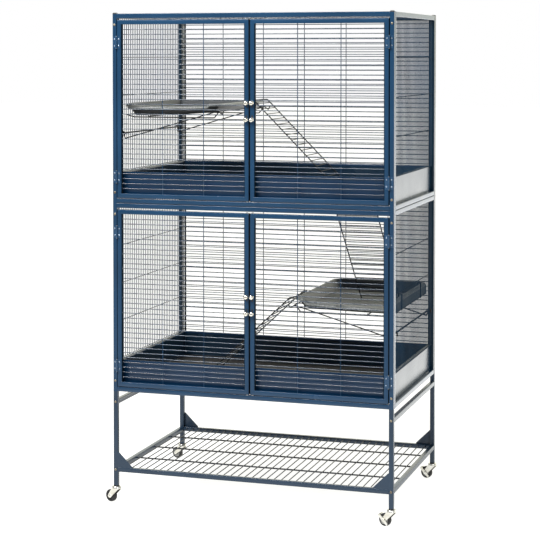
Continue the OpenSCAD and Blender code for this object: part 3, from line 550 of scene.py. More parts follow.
# caps: shallow domes in the upper post ends
b = Build()
b.use("black")
for m in (-1, 1):
    for s in (-1, 1):
        b.box((m * XI, s * YI, TOP - CAP), (m * XO, s * YO, TOP + 0.6), 0.5, 2)
        c0, c1 = 6.6, 5.28
        ring0 = [(m * PX + i * c0, s * PY + j * c0, TOP - 0.2) for i, j in ((1, 1), (-1, 1), (-1, -1), (1, -1))]
        ring1 = [(m * PX + i * 6.0, s * PY + j * 6.0, TOP + 2.0) for i, j in ((1, 1), (-1, 1), (-1, -1), (1, -1))]
        ring2 = [(m * PX + i * c1 * 0.8, s * PY + j * c1 * 0.8, TOP + 3.0) for i, j in ((1, 1), (-1, 1), (-1, -1), (1, -1))]
        b.add(ring0 + ring1 + ring2, [(i, (i + 1) % 4, 4 + (i + 1) % 4, 4 + i) for i in range(4)] +
              [(4 + i, 4 + (i + 1) % 4, 8 + (i + 1) % 4, 8 + i) for i in range(4)] + [(8, 9, 10, 11)], True)
        b.box((m * PX - 5.7, s * PY - 5.7, TOP - 14), (m * PX + 5.7, s * PY + 5.7, TOP - CAP), 0.5, 1)
b.obj("post_caps_moulded", "cage", "post_caps", "frame_blue")

# screws
b = Build()
b.use("screw")
for m in (-1, 1):
    for s in (-1, 1):
        for base in (B0, B1):
            for z in (35, TH - 37):
                screw(b, m * PX, base + z, s, YO)
b.obj("cage_screws", "cage", "cage_bolts", "zinc")
b = Build()
b.use("screw")
for m in (-1, 1):
    for s in (-1, 1):
        for z in (111.5, 336.5):
            screw(b, m * LX, z, s, YO)
b.obj("stand_screws", "cage", "stand_bolts", "zinc")


# ------------------------------------------------------------------- trays
def tray(base, hole):
    b = Build()
    zb, zt = base + TZ, base + TZ + TRAY_H
    t = 1.2
    x1, y1 = TX - 2, TY - 2
    x0, y0 = TX - 6, TY - 6

    def ring(x, y, z, r, n=4):
        out = []
        for cx, cy, a0 in ((x - r, y - r, 0), (-x + r, y - r, 90), (-x + r, -y + r, 180), (x - r, -y + r, 270)):
            for i in range(n + 1):
                a = math.radians(a0 + 90 * i / n)
                out.append((cx + r * math.cos(a), cy + r * math.sin(a), z))
        return out

    def shell(rings, key, smooth=True, closed_top=False):
        b.use(key)
        k = len(rings[0])
        verts = [p for r in rings for p in r]
        faces = []
        for i in range(len(rings) - 1):
            for j in range(k):
                l = (j + 1) % k
                faces.append((i * k + j, i * k + l, (i + 1) * k + l, (i + 1) * k + j))
        b.add(verts, faces, smooth)

    # outside wall up to the folded lip, over it and down inside
    outer = [ring(x0 - 1.5, y0 - 1.5, zb, 3), ring(x0, y0, zb + 1.5, 3.5), ring(x1, y1, zt - 8, 3.5)]
    lip = [ring(x1, y1, zt - 8, 3.5), ring(TX, TY, zt - 8, 4), ring(TX, TY, zt - 1, 4), ring(TX - 1, TY - 1, zt, 4),
           ring(TX - 2.8, TY - 2.8, zt, 3), ring(TX - 3.6, TY - 3.6, zt - 1, 3), ring(TX - 3.6, TY - 3.6, zt - 8, 3)]
    inner = [ring(TX - 3.6, TY - 3.6, zt - 8, 3), ring(x0 - t, y0 - t, zb + t + 2, 3), ring(x0 - t - 2, y0 - t - 2, zb + t, 3)]
    shell(outer, "tray")
    shell(lip, "tray")
    shell(inner, "trayin")
    # floor, with the ladder hole cut out of the upper one
    xa, ya = x0 - t - 2, y0 - t - 2
    for z, key, up, ex, ey in ((zb + t, "trayfloor", True, xa, ya), (zb, "tray", False, x0 - 1.5, y0 - 1.5)):
        b.use(key)
        rr = ring(ex, ey, z, 3)
        if not hole:
            b.add(rr, [tuple(range(len(rr))) if up else tuple(range(len(rr)))[::-1]], False)
        else:
            hx0, hx1, hy0, hy1 = hole
            h = [(hx1, hy1, z), (hx0, hy1, z), (hx0, hy0, z), (hx1, hy0, z)]
            k = len(rr) // 4
            verts = rr + h
            m = len(rr)
            faces = []
            for c in range(4):
                idx = list(range(c * k, c * k + k)) + [((c + 1) * k) % m]
                f = idx + [m + (c + 1) % 4, m + c]
                faces.append(tuple(f) if up else tuple(f)[::-1])
            b.add(verts, faces, False)
    if hole:
        hx0, hx1, hy0, hy1 = hole
        b.use("tray")
        q = [(hx1, hy1), (hx0, hy1), (hx0, hy0), (hx1, hy0)]
        verts = [(x, y, zb) for x, y in q] + [(x, y, zb + t) for x, y in q]
        b.add(verts, [(i, (i + 1) % 4, 4 + (i + 1) % 4, 4 + i) for i in range(4)], False)
    b.use("trayside")
    ys = YI - T - 0.6
    for m_ in (-1, 1):
        b.box((m_ * (TX - 1.5), -ys, zt - 1.6), (m_ * 463.6, ys, zt - 0.4), 0.5, 2, ends=1)
        b.box((m_ * 462.4, -ys, zb + 1.0), (m_ * 463.6, ys, zt - 0.4), 0.5, 2, ends=1)
    return b


tray(B0, None).obj("lower_tray_pressed", "cage", "lower_tray", "tray_blue")
tray(B1, (265, 440, -284, -135)).obj("upper_tray_pressed", "cage", "upper_tray", "tray_blue")


# -------------------------------------------------------------------- doors
def frame_mitre(b, x0, x1, z0, z1, y0, y1, w, h, r=1.5):
    """Four tubes cut at 45 degrees at the corners, with rounded long edges and a fine seam."""
    g = 0.12
    sec = []
    seg = 3
    cs = ((1 - r, 1 - r, 0), (r, 1 - r, 90), (r, r, 180), (1 - r, r, 270))

    def section(width):
        ring = []
        dep = y1 - y0
        for cx, cy, a0 in ((width - r, dep - r, 0), (r, dep - r, 90), (r, r, 180), (width - r, r, 270)):
            for i in range(seg + 1):
                a = math.radians(a0 + 90 * i / seg)
                ring.append((cx + r * math.cos(a), cy + r * math.sin(a)))
        return ring

    # ring coordinates: u from outer edge inwards, v front to back
    for kind in range(4):
        ww = h if kind in (0, 2) else w
        ring = section(ww)
        k = len(ring)
        verts = []
        for end in (0, 1):
            for u, v in ring:
                y = y0 + v
                f = u / ww
                if kind == 0:      # bottom rail
                    x = (x0 + f * w + g) if end == 0 else (x1 - f * w - g)
                    z = z0 + u
                elif kind == 2:    # top rail
                    x = (x0 + f * w + g) if end == 0 else (x1 - f * w - g)
                    z = z1 - u
                elif kind == 1:    # left stile
                    z = (z0 + f * h + g) if end == 0 else (z1 - f * h - g)
                    x = x0 + u
                else:
                    z = (z0 + f * h + g) if end == 0 else (z1 - f * h - g)
                    x = x1 - u
                verts.append((x, y, z))
        faces = []
        for j in range(k):
            l = (j + 1) % k
            faces.append((j, l, k + l, k + j))
        rev = kind in (0, 3)
        if rev:
            faces = [f[::-1] for f in faces]
        b.add(verts, faces, True)
        e0, e1 = tuple(range(k))[::-1], tuple(range(k, 2 * k))
        if rev:
            e0, e1 = e0[::-1], e1[::-1]
        b.add(verts, [e0, e1], False)


def door(base, mirror):
    b = Build(mirror)
    b.use("door")
    frame_mitre(b, DX0, DX1, base + DZ0, base + DZ1, DY0, DY1, ST, DR)
    b.use("wire")
    ym = (DY0 + DY1) / 2
    yw = ym - 1
    zm = base + (DZ0 + DZ1) / 2
    n = 33
    dp = (DZ1 - DZ0 - 2 * DR) / (n + 1)
    for i in range(n):
        z = zm + (i - (n - 1) / 2) * dp
        b.wire((DX0 + ST - 0.6, yw, z), (DX1 - ST + 0.6, yw, z), WIRE, 10)
    for x in (159.1, 301.8):
        b.use("doorwire")
        b.wire((x, yw + LAP, base + DZ0 + DR - 0.6), (x, yw + LAP, base + DZ1 - DR + 0.6), WIRE, 10)
    # near-black strips, painted shade: a thin one on each outer side of the door frame in the gaps beside it, and one
    # along each stile's inner edge where the mesh meets it
    b.use("edge")
    b.box((DX1 - 0.05, DY0 + 0.5, base + DZ0 + 0.5), (DX1 + 0.35, DY1 - 0.3, base + DZ1 - 0.5), 0.1, 1, ends=2)
    b.box((DX0 - 0.35, DY0 + 0.5, base + DZ0 + 0.5), (DX0 + 0.05, DY1 - 0.3, base + DZ1 - 0.5), 0.1, 1, ends=2)
    b.use("edge")
    b.box((DX0 + ST - 0.2, DY0 + 3, base + DZ0 + DR - 0.4), (DX0 + ST + 2.4, DY1 - 3, base + DZ1 - DR + 0.4), 0.4, 1, ends=2)
    b.box((DX1 - ST - 2.4, DY0 + 3, base + DZ0 + DR - 0.4), (DX1 - ST + 0.2, DY1 - 3, base + DZ1 - DR + 0.4), 0.4, 1, ends=2)
    # the slots that the knobs slide in, drawn as black plates on the stile face: painted shade in place of open slots
    b.use("black")
    for z0, z1 in ((334 - 12 - 2.9, 334 + 2.9), (280 - 2.9, 280 + 12 + 2.9)):
        b.box((BX - 2.9, DY0 - 0.12, base + z0), (BX + 2.9, DY0 + 1.0, base + z1), 0.4, 1)
    return b


for tier, base in (("lower", B0), ("upper", B1)):
    for side, mir in (("left", True), ("right", False)):
        door(base, mir).obj(f"door_{tier}_{side}_framed", f"door_{tier}_{side}", f"door_{tier}_{side}", "frame_blue")


# ------------------------------------------------------------------- bolts
def bolt(base, zk, z0, z1, mirror):
    b = Build(mirror)
    ym = (DY0 + DY1) / 2
    b.use("zinc")
    b.wire((BX, ym, base + z0), (BX, ym, base + z1), 7.0, 20)
    b.use("knob")
    m = at(BX, ym, base + zk) @ rotx(90)
    b.lathe([(0, 0), (2.6, 0), (2.6, 8.8), (3.3, 9.2), (4.3, 9.8), (5.6, 10.8), (7.0, 12.2), (7.9, 13.9), (8.15, 15.6),
             (8.0, 17.4), (7.3, 19.4), (6.1, 21.0), (4.4, 22.2), (2.2, 22.85), (0, 23)], 40, m)
    return b


for tier, base in (("lower", B0), ("upper", B1)):
    for side, mir in (("left", True), ("right", False)):
        bolt(base, 334, 326, DZ1 + 3, mir).obj(f"bolt_{tier}_{side}_up_turned", f"bolt_{tier}_{side}_up", f"bolt_{tier}_{side}_up", "knob_metal")
        bolt(base, 280, RB + 0.5, 288, mir).obj(f"bolt_{tier}_{side}_down_turned", f"bolt_{tier}_{side}_down", f"bolt_{tier}_{side}_down", "knob_metal")


# ----------------------------------------------------------------- ladders
def swept_ladder(bar, p1, p2, y, w, mir=False):
    """Rails with rounded bends, rungs welded under them."""
    b = Build(mir)
    b.use("bwire")
    bx, bz = bar
    d = np.array(p2, float) - np.array(p1, float)
    l = np.linalg.norm(d)
    d = d / l
    for k in (y, y + w):
        b.sweep([(bx, k, bz), (bx + p1[0], k, bz + p1[1]), (bx + p2[0], k, bz + p2[1])], 4.0, 12, br=6)
    b.wire((bx, y - 2, bz), (bx, y + w + 2, bz), 4.4, 16)
    n = int((l - 22) // 25)
    for i in range(n + 1):
        q = np.array(p1) + d * (16 + i * 25)
        b.wire((bx + q[0], y - 2, bz + q[1]), (bx + q[0], y + w + 2, bz + q[1]), 3.0, 10)
    return b


LB = RIM + 2.2 + 0.05
LF = TZ + 1.2 + 2 + 0.2
swept_ladder((SX0 + 6, B0 + LB), (-11, 0), (-343, LF - LB), -262, 150).obj("ladder_lower_wire", "ladder_lower", "ladder_lower", "black_wire")
swept_ladder((-SX0 - 6, B1 + LB), (11, 0), (321, LF - LB), 97, 150).obj("ladder_upper_wire", "ladder_upper", "ladder_upper", "black_wire")

b = Build()
b.use("bwire")
zt = B1 + TZ + 1.2 + 2.2 + 0.05
zf = B0 + RIM - PAN_H + 2 + 2 + 0.3
hx, hy = 265 + 15, -284 - 3.5
dz = zt - zf
w = 133
for k in (0, w):
    b.sweep([(hx + k, hy, zt), (hx + k, hy + 7.5, zt), (hx + k, hy + 7.5, zt - 34), (hx + k, hy + 328.5, zt - dz)], 4.0, 12, br=5)
b.wire((hx - 2, hy, zt), (hx + w + 2, hy, zt), 4.4, 16)
v = np.array([321.0, -dz + 34])
l = np.linalg.norm(v)
u = v / l
for i in range(int((l - 22) // 25) + 1):
    q = np.array([7.5, -34.0]) + u * (12 + i * 25)
    b.wire((hx - 2, hy + q[0], zt + q[1]), (hx + w + 2, hy + q[0], zt + q[1]), 3.0, 10)
b.obj("ladder_middle_wire", "ladder_middle", "ladder_middle", "black_wire")


# ----------------------------------------------------------------- shelves
def bracket(base, mir):
    b = Build(mir)
    b.use("bwire")
    zb = base + RIM - PAN_H
    xw = XI - 0.6
    xh = PX + 2 + 1.9
    zc = base + CROSS[1]
    zr = zb - 4 - 2 + 0.7
    zt = zb - 2.02
    xf, xm = SX0 + 5, SX0 + 250
    for s in (-1, 1):
        hyk = PITCH * 15.5 * s
        b.sweep([(xh, hyk, zc - 8), (xh, hyk, zc + 3.7), (xw, hyk, zc + 3.7), (xw, hyk, base + 218)], 3.8, 12, br=3)
        # runner under the pan, bent up to the free end
        b.sweep([(xw - 1.0, s * 236, zr + 8), (xw - 30, s * 236, zr), (SX0 + 22.5, s * 236, zr), (xf, s * 236, base + 303.6)], 3.8, 12, br=6)
        # strut: tail at the wall, straight up to the free end, small loop there
        b.sweep([(xw, s * 248, base + 228.8), (xw, s * 248, base + 209.8), (SX0 + 6, s * 248, base + 303.8), (SX0 - 10, s * 248, base + 293), (SX0 - 14, s * 248, base + 306)], 3.8, 12, br=4)
        # clip over the rim at the wall
        if mir:
            continue
        b.sweep([(xw, s * 140, zr + 6), (xw, s * 140, base + 339.5), (xw - 11, s * 140, base + 339.5), (xw - 11, s * 140, base + 330)], 3.5, 12, br=3.5)
    b.sweep([(xm, -249.4, base + 288), (xm, -243.5, base + 279.4), (xm, -236, zt), (xm, 236, zt), (xm, 243.5, base + 279.4), (xm, 249.4, base + 288)], 3.8, 12, br=4)
    b.wire((xf, -250, base + 303.6), (xf, 250, base + 303.6), 3.8, 12)
    b.wire((xw - 2, -238, zr + 8), (xw - 2, 238, zr + 8), 3.6, 12)
    b.wire((xw, -254, base + 228), (xw, 254, base + 228), 4.0, 12)
    return b


def pan(base, mir):
    b = Build(mir)
    zb = base + RIM - PAN_H
    cx = SX0 + 166.5
    cy = -3.0
    H = PAN_H
    W, D = 166.5, 250.0
    lean = 18.0 / 41.0
    # front rim: how far it is lowered at each place between the corners
    if mir:
        dips = [(-135, 0), (-132, 1.5), (-126, 6.4), (-122, 7.6), (-40, 8.0), (0, 8.0), (3, 10.0), (24, 10.2), (27, 8.2), (120, 8.4), (144, 8.2), (150, 7.6), (156, 7.0)]
        rise = 13.0
    else:
        dips = [(-135, 0), (-132, 2.5), (-125, 11.6), (-120, 13.6), (-40, 16.5), (0, 18.0), (3, 20.4), (24, 21.0), (27, 19.2), (120, 22.0), (144, 22.4), (150, 19.0), (156, 12.0)]
        rise = 8.0

    def lift(x, z):
        t_ = max(0.0, min(1.0, (150.0 - x) / 300.0))
        return rise * t_ * t_ * (1 - z / H)

    def ring(inset, z, c, wall, top):
        """Rectangle with cut corners; the front edge of the top rings is lowered between the corners."""
        hx_, hy_ = W - inset, D - inset
        cw = max(1.5, 6.0 - inset * 0.1)
        pts = [(hx_, hy_ - cw), (hx_ - cw, hy_), (-hx_ + c, hy_), (-hx_, hy_ - c), (-hx_, -hy_ + c), (-hx_ + c, -hy_), (hx_ - cw, -hy_), (hx_, -hy_ + cw)]
        out = []
        m = len(pts)
        n = 3
        for i in range(m):
            p0, p, q = np.array(pts[i - 1]), np.array(pts[i]), np.array(pts[(i + 1) % m])
            lu, lw = np.linalg.norm(p0 - p), np.linalg.norm(q - p)
            u, w_ = (p0 - p) / lu, (q - p) / lw
            r = min(7.0, 0.45 * lu, 0.45 * lw)
            for j in range(n + 1):
                t_ = j / n
                v_ = p + u * r * (1 - t_) ** 2 + w_ * r * t_ ** 2
                out.append((v_[0], v_[1], z + lift(v_[0], z)))
            if i == 5:      # along the front edge
                for x, d_ in dips:
                    xx = x * min(1.0, (hx_ - c - 7.5) / 135.0) if x < 0 else x * min(1.0, (hx_ - cw - 3.5) / 156.0)
                    d_ = d_ * top
                    out.append((xx, -hy_ + (d_ * lean if wall else 0), z - d_ + lift(xx, z)))
        return [(cx + x, cy + y, zb + zz) for x, y, zz in out]

    def shell(rings, key, end=None):
        k = len(rings[0])
        verts = [p for r_ in rings for p in r_]
        groups = {}
        for i in range(len(rings) - 1):
            for j in range(k):
                l_ = (j + 1) % k
                f = (i * k + j, i * k + l_, (i + 1) * k + l_, (i + 1) * k + j)
                kk = key
                # faces of the free end's inner wall take the lighter end material: painted light
                if end and max(verts[q][0] for q in f) < cx - W + 38 and abs(verts[f[0]][0] - verts[f[1]][0]) < 4:
                    kk = end
                groups.setdefault(kk, []).append(f)
        for kk, fs in groups.items():
            b.use(kk)
            b.add(verts, fs, True)

    low = ring(28, 0, 17, True, 0)
    under = ring(10.5, H - 4.0, 19.5, True, 1)
    # outer wall under the rim in the darker wall material: painted shade
    shell([low, ring(25.5, 2, 18.5, True, 0), ring(22.4, 10.2, 19, True, 0), ring(19.8, 11.4, 19.2, True, 0.1), ring(12.4, H - 7.5, 19.4, True, 0.9), under], "panwall")
    # the rolled rim in the rim material, its bright specks a painted sparkle
    shell([under, ring(5.0, H - 4.6, 22.4, False, 1), ring(2.6, H - 7.6, 23.6, False, 1), ring(1.8, H - 10.8, 24, False, 1), ring(1.0, H - 11.4, 24.5, False, 1), ring(0.2, H - 11.0, 24.9, False, 1),
           ring(0, H - 9.6, 25, False, 1), ring(0.7, H - 6.8, 24.7, False, 1), ring(2.0, H - 4.2, 24, False, 1), ring(4.0, H - 2.0, 23, False, 1),
           ring(6.6, H - 0.6, 21.6, False, 1), ring(9.0, H, 20.4, True, 1), ring(10.6, H - 0.4, 19.8, True, 1), ring(11.6, H - 1.8, 19.6, True, 1)], "panrim")
    floor_ring = ring(30, 2, 16.5, True, 0)
    shell([ring(11.6, H - 1.8, 19.6, True, 1), ring(18.2, 22.2, 19, True, 0.45), ring(19.6, 20.6, 18.8, True, 0.4), ring(22.6, 12.6, 18.4, True, 0.1), ring(24.2, 11.0, 18.2, True, 0.05),
           ring(27.0, 4.4, 18, True, 0), ring(28.0, 2.8, 17.4, True, 0), floor_ring], "pan", "pan_end_painted_light")
    # the pan's floor in the light floor material: painted sheen
    b.use("panfloor_sheen")
    b.add(floor_ring, [tuple(range(len(floor_ring)))], False)
    b.use("panwall")
    b.add(low, [tuple(range(len(low)))[::-1]], False)
    if not mir:
        b.use("panend")
        xe = cx + W
        b.box((xe - 1.6, cy - D + 5.5, zb + 3.5), (xe - 0.6, cy + D - 5.5, zb + H - 8), 0.3, 1, ends=1)
        b.box((xe - 1.6, cy - D + 5.0, zb + 3.0), (xe, cy + D - 5.0, zb + 17.5), 0.5, 2, ends=1)
    return b


for tier, base, mir in (("lower", B0, False), ("upper", B1, True)):
    bracket(base, mir).obj(f"shelf_bracket_{tier}_wire", f"shelf_{tier}", f"shelf_bracket_{tier}", "black_wire")
    pan(base, mir).obj(f"shelf_pan_{tier}_moulded", f"shelf_{tier}", f"shelf_pan_{tier}", "shelf_plastic")


# ------------------------------------------------------------------- stand
def stand_frame(s):
    b = Build()
    b.use("stand")
    for m in (-1, 1):
        b.box((m * (XO - LEG), s * (YO - LEG), 58), (m * XO, s * YO, B0), 1.6, 3, ends=2)
        # gusset plate
        x0_, z0_ = m * (XO - LEG + 0.6), 118.4
        pts = [(x0_, z0_), (x0_ - m * 52.6, z0_), (x0_ - m * 52.6, z0_ + 3), (x0_ - m * 3, z0_ + 51.6), (x0_, z0_ + 51.6)]
        y1_, y0_ = s * (YO - 0.3), s * (YO - 3.3)
        verts = [(x, y1_, z) for x, z in pts] + [(x, y0_, z) for x, z in pts]
        n_ = len(pts)
        faces = [tuple(range(n_)), tuple(range(n_, 2 * n_))[::-1]] + [((i + 1) % n_, i, n_ + i, n_ + (i + 1) % n_) for i in range(n_)]
        if m * s < 0:
            faces = [f[::-1] for f in faces]
        b.add(verts, faces, False)
    b.box((-(XO - LEG), s * (YO - LEG), 104), (XO - LEG, s * YO, 119), 1.6, 3, ends=0)
    return b


stand_frame(-1).obj("stand_front_frame_tubes", "cage", "stand_front_frame", "stand_grey_blue")
stand_frame(1).obj("stand_rear_frame_tubes", "cage", "stand_rear_frame", "stand_grey_blue")
for nm, m in (("left", -1), ("right", 1)):
    b = Build()
    b.use("stand")
    for z in (104, 329):
        b.box((m * (XO - LEG), -YO + LEG, z), (m * XO, YO - LEG, z + LEG), 1.6, 3, ends=1)
    b.obj(f"stand_side_{nm}_tubes", "cage", f"stand_side_{nm}", "stand_grey_blue")
b = Build()
b.use("grid")
for i in range(-18, 19):
    b.wire((i * 24.7, -YO + LEG, 114.2), (i * 24.7, YO - LEG, 114.2), 3.4, 10)
for y in (-140, 20, 178):
    b.wire((-(XO - LEG), y, 110.4), (XO - LEG, y, 110.4), 5.2, 14)
b.obj("stand_shelf_grid_wire", "cage", "stand_shelf_grid", "stand_grey_blue")

# leg plugs: a rounded collar under each leg
b = Build()
b.use("black")
for m in (-1, 1):
    for s in (-1, 1):
        b.box((m * LX - 7.5, s * LY - 7.5, 55), (m * LX + 7.5, s * LY + 7.5, 58), 0.9, 2)
b.obj("leg_plug_collars", "cage", "leg_plugs", "black_plastic")


# ----------------------------------------------------------------- casters
def caster_xf(m, s):
    return at(m * LX, s * LY, 0) @ rotz(180 - 20)


TRAIL, AZ = 23.0, 20.25
b = Build()
b.use("zinc")
for m in (-1, 1):
    for s in (-1, 1):
        b.xf = caster_xf(m, s)
        b.lathe([(0, 42), (6.4, 42), (7, 42.6), (7, 45.6), (4, 46), (4, 51), (14.2, 51), (15, 51.8), (15, 53.2), (13.6, 55), (4.2, 55), (4, 84), (0, 84)], 40)
b.xf = None
b.obj("caster_stem_races", "cage", "caster_stems", "zinc")


def fork(m, s, stub):
    b = Build()
    b.xf = caster_xf(m, s)
    b.use("zinc")
    b.lathe([(4.06, 46.2), (12.6, 46.2), (14.4, 46.9), (15, 48), (15, 49.6), (14.2, 50.8), (10, 50.8), (9.4, 50.4), (7, 50.4), (6.4, 50.8), (4.06, 50.8), (4.06, 46.2)], 40)
    # arms with a rounded lower end
    pts = [(-10.6, 50.2), (-10.6, 43.5)]
    for k in range(9):
        a = math.radians(222 + (360 - 222 + 10) * k / 8)
        pts.append((TRAIL + 7.4 * math.cos(a), AZ + 7.4 * math.sin(a)))
    pts.append((10.6, 50.2))
    for q in (-1, 1):
        y0_, y1_ = q * 8.5, q * 10.3
        n_ = len(pts)
        verts = [(x, y1_, z) for x, z in pts] + [(x, y0_, z) for x, z in pts]
        faces = [tuple(range(n_)), tuple(range(n_, 2 * n_))[::-1]] + [((i + 1) % n_, i, n_ + i, n_ + (i + 1) % n_) for i in range(n_)]
        if q > 0:
            faces = [f[::-1] for f in faces]
        b.add(verts, faces, False)
        # rivet heads
        yy = stub if q > 0 else 10.2
        mm = at(TRAIL, q * yy, AZ) @ rotx(-90 * q)
        b.lathe([(0, -0.4), (4.2, -0.4), (4.2, 0.3), (3.4, 1.0), (1.8, 1.4), (0, 1.4)], 24, mm)
    b.wire((TRAIL, -10.2, AZ), (TRAIL, stub, AZ), 5.0, 20)
    return b


def wheel(m, s, hubkey):
    b = Build()
    b.xf = caster_xf(m, s) @ at(TRAIL, 0, AZ) @ rotx(90)
    b.use("tyre")
    R = AZ
    b.lathe([(13.6, -7.0), (14.6, -7.5), (R - 3.0, -7.5), (R - 1.4, -6.9), (R - 0.5, -5.8), (R - 0.1, -4.2), (R, -2.2), (R, 2.2), (R - 0.1, 4.2),
             (R - 0.5, 5.8), (R - 1.4, 6.9), (R - 3.0, 7.5), (14.6, 7.5), (13.6, 7.0), (13.6, -7.0)], 64)
    b.use(hubkey)
    b.lathe([(2.58, -8.2), (5.6, -8.2), (6.2, -7.8), (6.6, -6.0), (12.2, -5.0), (12.8, -6.6), (13.6, -7.0), (13.6, 7.0), (12.8, 6.6), (12.2, 5.0), (6.6, 6.0),
             (6.2, 7.8), (5.6, 8.2), (2.58, 8.2), (2.58, -8.2)], 64)
    # ribs between hub and rim
    for k in range(8):
        a = k * math.pi / 4
        c_, s_ = math.cos(a), math.sin(a)
        for q in (-1, 1):
            p0 = np.array([6.0 * c_, 6.0 * s_, q * 5.6])
            p1 = np.array([13.0 * c_, 13.0 * s_, q * 5.6])
            b.wire(p0, p1, 1.4, 8)
    return b


def lever(m, s):
    b = Build()
    b.xf = caster_xf(m, s)
    b.use("zinc")
    th = math.radians(42)
    c_, s_ = math.cos(th), math.sin(th)
    loc = [(-20, -3.4), (0, -5.4), (24.4, -3.2), (24.4, 3.2), (0, 5.4), (-18, 3.4)]
    pts = [(TRAIL + x * c_ - z * s_, AZ + x * s_ + z * c_) for x, z in loc]
    y0_, y1_ = 10.6, 12.8
    n_ = len(pts)
    verts = [(x, y0_, z) for x, z in pts] + [(x, y1_, z) for x, z in pts]
    faces = [tuple(range(n_)), tuple(range(n_, 2 * n_))[::-1]] + [((i + 1) % n_, i, n_ + i, n_ + (i + 1) % n_) for i in range(n_)]
    b.add(verts, faces, False)
    old = b.xf
    rot = np.eye(4)
    a = -th
    rot[0, 0], rot[0, 2], rot[2, 0], rot[2, 2] = math.cos(a), math.sin(a), -math.sin(a), math.cos(a)
    b.xf = old @ at(TRAIL, 0, AZ) @ rot
    b.box((21.6, -8, -5.5), (24.4, 12.8, 5.5), 0.8, 2)
    return b


for c, (m, s) in {"fl": (-1, -1), "fr": (1, -1), "rl": (-1, 1), "rr": (1, 1)}.items():
    stub = 13.0 if m > 0 else 10.2
    fork(m, s, stub).obj(f"caster_fork_{c}_pressed", f"caster_{c}", f"caster_fork_{c}", "zinc")
    wheel(m, s, "black" if c == "fl" else "hub").obj(f"caster_wheel_{c}_tyred", f"wheel_{c}", f"caster_wheel_{c}", "wheel_black")
    if m > 0:
        lever(m, s).obj(f"brake_lever_{c}_bent", f"brake_{c}", f"brake_lever_{c}", "zinc")

# carried-over CAD nodes get finished materials
def dress(names, key):
    for nm in names:
        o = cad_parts[nm]
        o.data.materials.clear()
        o.data.materials.append(M[key])


dress(["lower_tray_runners", "upper_tray_runners"], "blue")
# hinge leaves take the lighter hinge blue: painted sheen
dress(["hinge_fixed_leaves", "hinge_leaves_lower_left", "hinge_leaves_lower_right", "hinge_leaves_upper_left", "hinge_leaves_upper_right"], "hinge")

# rivet heads on both leaves of every hinge, in metal brightened to a light blue-grey: partly real metal shine, partly
# painted glint
RIV = [(0, 1.32), (0.9, 1.24), (1.8, 0.98), (2.44, 0.5), (2.5, 0.3), (2.5, -0.3)]
for tier, base in (("lower", B0), ("upper", B1)):
    for side, mir in (("left", True), ("right", False)):
        for part, x, y, body in (("fixed", XO - 7.4, -YO - 1.2, "cage"), ("moving", DX1 - 6.6, DY0 - 1.2, f"door_{tier}_{side}")):
            b = Build(mir)
            b.use("rivet")
            for hz in (87, TH - 95):
                for h in (9, 31):
                    b.lathe(RIV, 20, at(x, y, base + hz - 20 + h) @ rotx(90))
            b.obj(f"rivets_{part}_{tier}_{side}", body, slot="zinc")
dress(["hinge_pins"], "zinc")
dress(["post_connectors"], "black")

# -------------------------------------------------------------- stage, light
scene = bpy.context.scene
scene.view_settings.view_transform = "Standard"
scene.view_settings.look = "None"

floor_me = bpy.data.meshes.new("floor")
S = 40.0
floor_me.from_pydata([(-S, -S, 0), (S, -S, 0), (S, S, 0), (-S, S, 0)], [], [(0, 1, 2, 3)])
floor = bpy.data.objects.new("floor", floor_me)
scene.collection.objects.link(floor)
fm, fnt, fbs = new_mat("floor_paper")
fn = node(fnt, "ShaderNodeTexNoise", Scale=0.8, Detail=2.0)
fnt.links.new(coord(fnt), fn.inputs["Vector"])
fnt.links.new(ramp(fnt, fn.outputs[0], [(0.3, (0.30, 0.30, 0.30)), (0.7, (0.32, 0.32, 0.32))]), fbs.inputs["Base Color"])
fbs.inputs["Roughness"].default_value = 0.95
fbs.inputs["Specular IOR Level"].default_value = 0.0
fbs.inputs["Emission Color"].default_value = (1.0, 0.997, 0.965, 1)
fsep = node(fnt, "ShaderNodeSeparateXYZ")
fnt.links.new(coord(fnt), fsep.inputs[0])


def smooth(sock, lo, hi, a, b_):
    n_ = node(fnt, "ShaderNodeMapRange", interpolation_type="SMOOTHSTEP")
    fnt.links.new(sock, n_.inputs["Value"])
    n_.inputs["From Min"].default_value = lo
    n_.inputs["From Max"].default_value = hi
    n_.inputs["To Min"].default_value = a
    n_.inputs["To Max"].default_value = b_
    return n_.outputs[0]


front = smooth(fsep.outputs["Y"], -1.9, -1.0, 0.28, 0.91)
back = smooth(fsep.outputs["Y"], 0.6, 1.2, 0.0, 1.1)
slant = node(fnt, "ShaderNodeMath", operation="MULTIPLY_ADD")
fnt.links.new(fsep.outputs["Y"], slant.inputs[0])
slant.inputs[1].default_value = 0.2
fnt.links.new(fsep.outputs["X"], slant.inputs[2])
aside = smooth(slant.outputs[0], 0.62, 0.76, 0.0, 1.0)
fmul = node(fnt, "ShaderNodeMath", operation="MULTIPLY")
fnt.links.new(back, fmul.inputs[0])
fnt.links.new(aside, fmul.inputs[1])
fadd = node(fnt, "ShaderNodeMath", operation="ADD")
fnt.links.new(front, fadd.inputs[0])
fnt.links.new(fmul.outputs[0], fadd.inputs[1])
fnt.links.new(fadd.outputs[0], fbs.inputs["Emission Strength"])
floor_me.materials.append(fm)

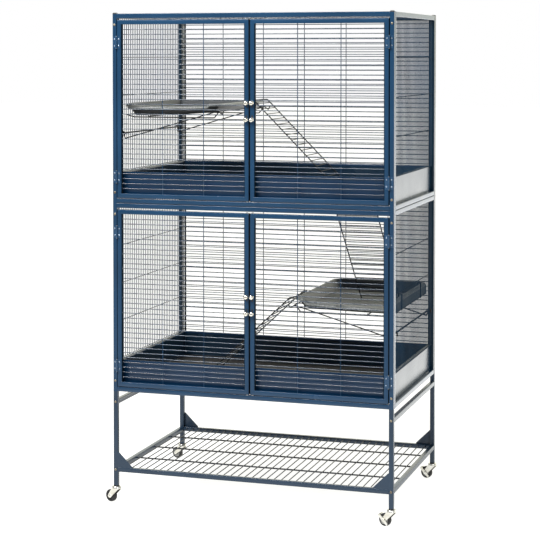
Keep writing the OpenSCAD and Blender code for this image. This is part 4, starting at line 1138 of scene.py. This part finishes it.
# pale studio: a bright paper sweep behind, a darker room in front of the object
world = bpy.data.worlds.new("studio")
scene.world = world
world.use_nodes = True
wn = world.node_tree
wn.nodes.clear()
wo = wn.nodes.new("ShaderNodeOutputWorld")
wb = wn.nodes.new("ShaderNodeBackground")
wc = wn.nodes.new("ShaderNodeTexCoord")
dot = wn.nodes.new("ShaderNodeVectorMath")
dot.operation = "DOT_PRODUCT"
dot.inputs[1].default_value = (0.27, 0.957, 0.10)
wn.links.new(wc.outputs["Generated"], dot.inputs[0])
wmap = wn.nodes.new("ShaderNodeMapRange")
wmap.inputs["From Min"].default_value = -1.0
wmap.inputs["From Max"].default_value = 1.0
wn.links.new(dot.outputs["Value"], wmap.inputs["Value"])
wr = ramp(wn, wmap.outputs[0], [(0.30, (0.105, 0.11, 0.118)), (0.52, (0.16, 0.164, 0.17)), (0.72, (0.44, 0.435, 0.405)), (0.88, (0.97, 0.97, 0.84)), (1.0, (0.98, 0.98, 0.86))])
wn.links.new(wr, wb.inputs[0])
wb.inputs[1].default_value = 1.58
wcam = wn.nodes.new("ShaderNodeBackground")
wcam.inputs[0].default_value = (1, 1, 1, 1)
wcam.inputs[1].default_value = 1.0
wp = wn.nodes.new("ShaderNodeLightPath")
wm = wn.nodes.new("ShaderNodeMixShader")
wn.links.new(wp.outputs["Is Camera Ray"], wm.inputs[0])
wn.links.new(wb.outputs[0], wm.inputs[1])
wn.links.new(wcam.outputs[0], wm.inputs[2])
wn.links.new(wm.outputs[0], wo.inputs[0])


def area(name, loc, target, size, power, col=(1, 1, 1), size_y=None):
    l = bpy.data.lights.new(name, "AREA")
    l.energy = power
    l.color = col
    l.shape = "RECTANGLE"
    l.size = size
    l.size_y = size_y or size
    o = bpy.data.objects.new(name, l)
    o.location = loc
    o.rotation_euler = (Vector(target) - Vector(loc)).to_track_quat("-Z", "Y").to_euler()
    scene.collection.objects.link(o)
    return o


area("front_right_box", (3.2, -4.2, 3.6), (0, 0, 1.0), 1.8, 88)
area("overhead_left_box", (-1.5, -2.8, 4.2), (0, 0, 1.2), 2.4, 285, size_y=0.8)

# -------------------------------------------------------------------- camera
cam = bpy.data.cameras.new("camera")
co = bpy.data.objects.new("camera", cam)
bpy.context.scene.collection.objects.link(co)
cam.sensor_width = 36
cam.sensor_fit = "HORIZONTAL"
cam.lens = 108.59
cam.shift_x = 0.0
cam.shift_y = -0.3152
co.location = ((1648.7 + OX) / 1000, (-5267.6 + OY) / 1000, 1.4833)
co.rotation_euler = (math.radians(90 - 1.57), 0, math.radians(17.69))
cam.clip_end = 200
bpy.context.scene.camera = co
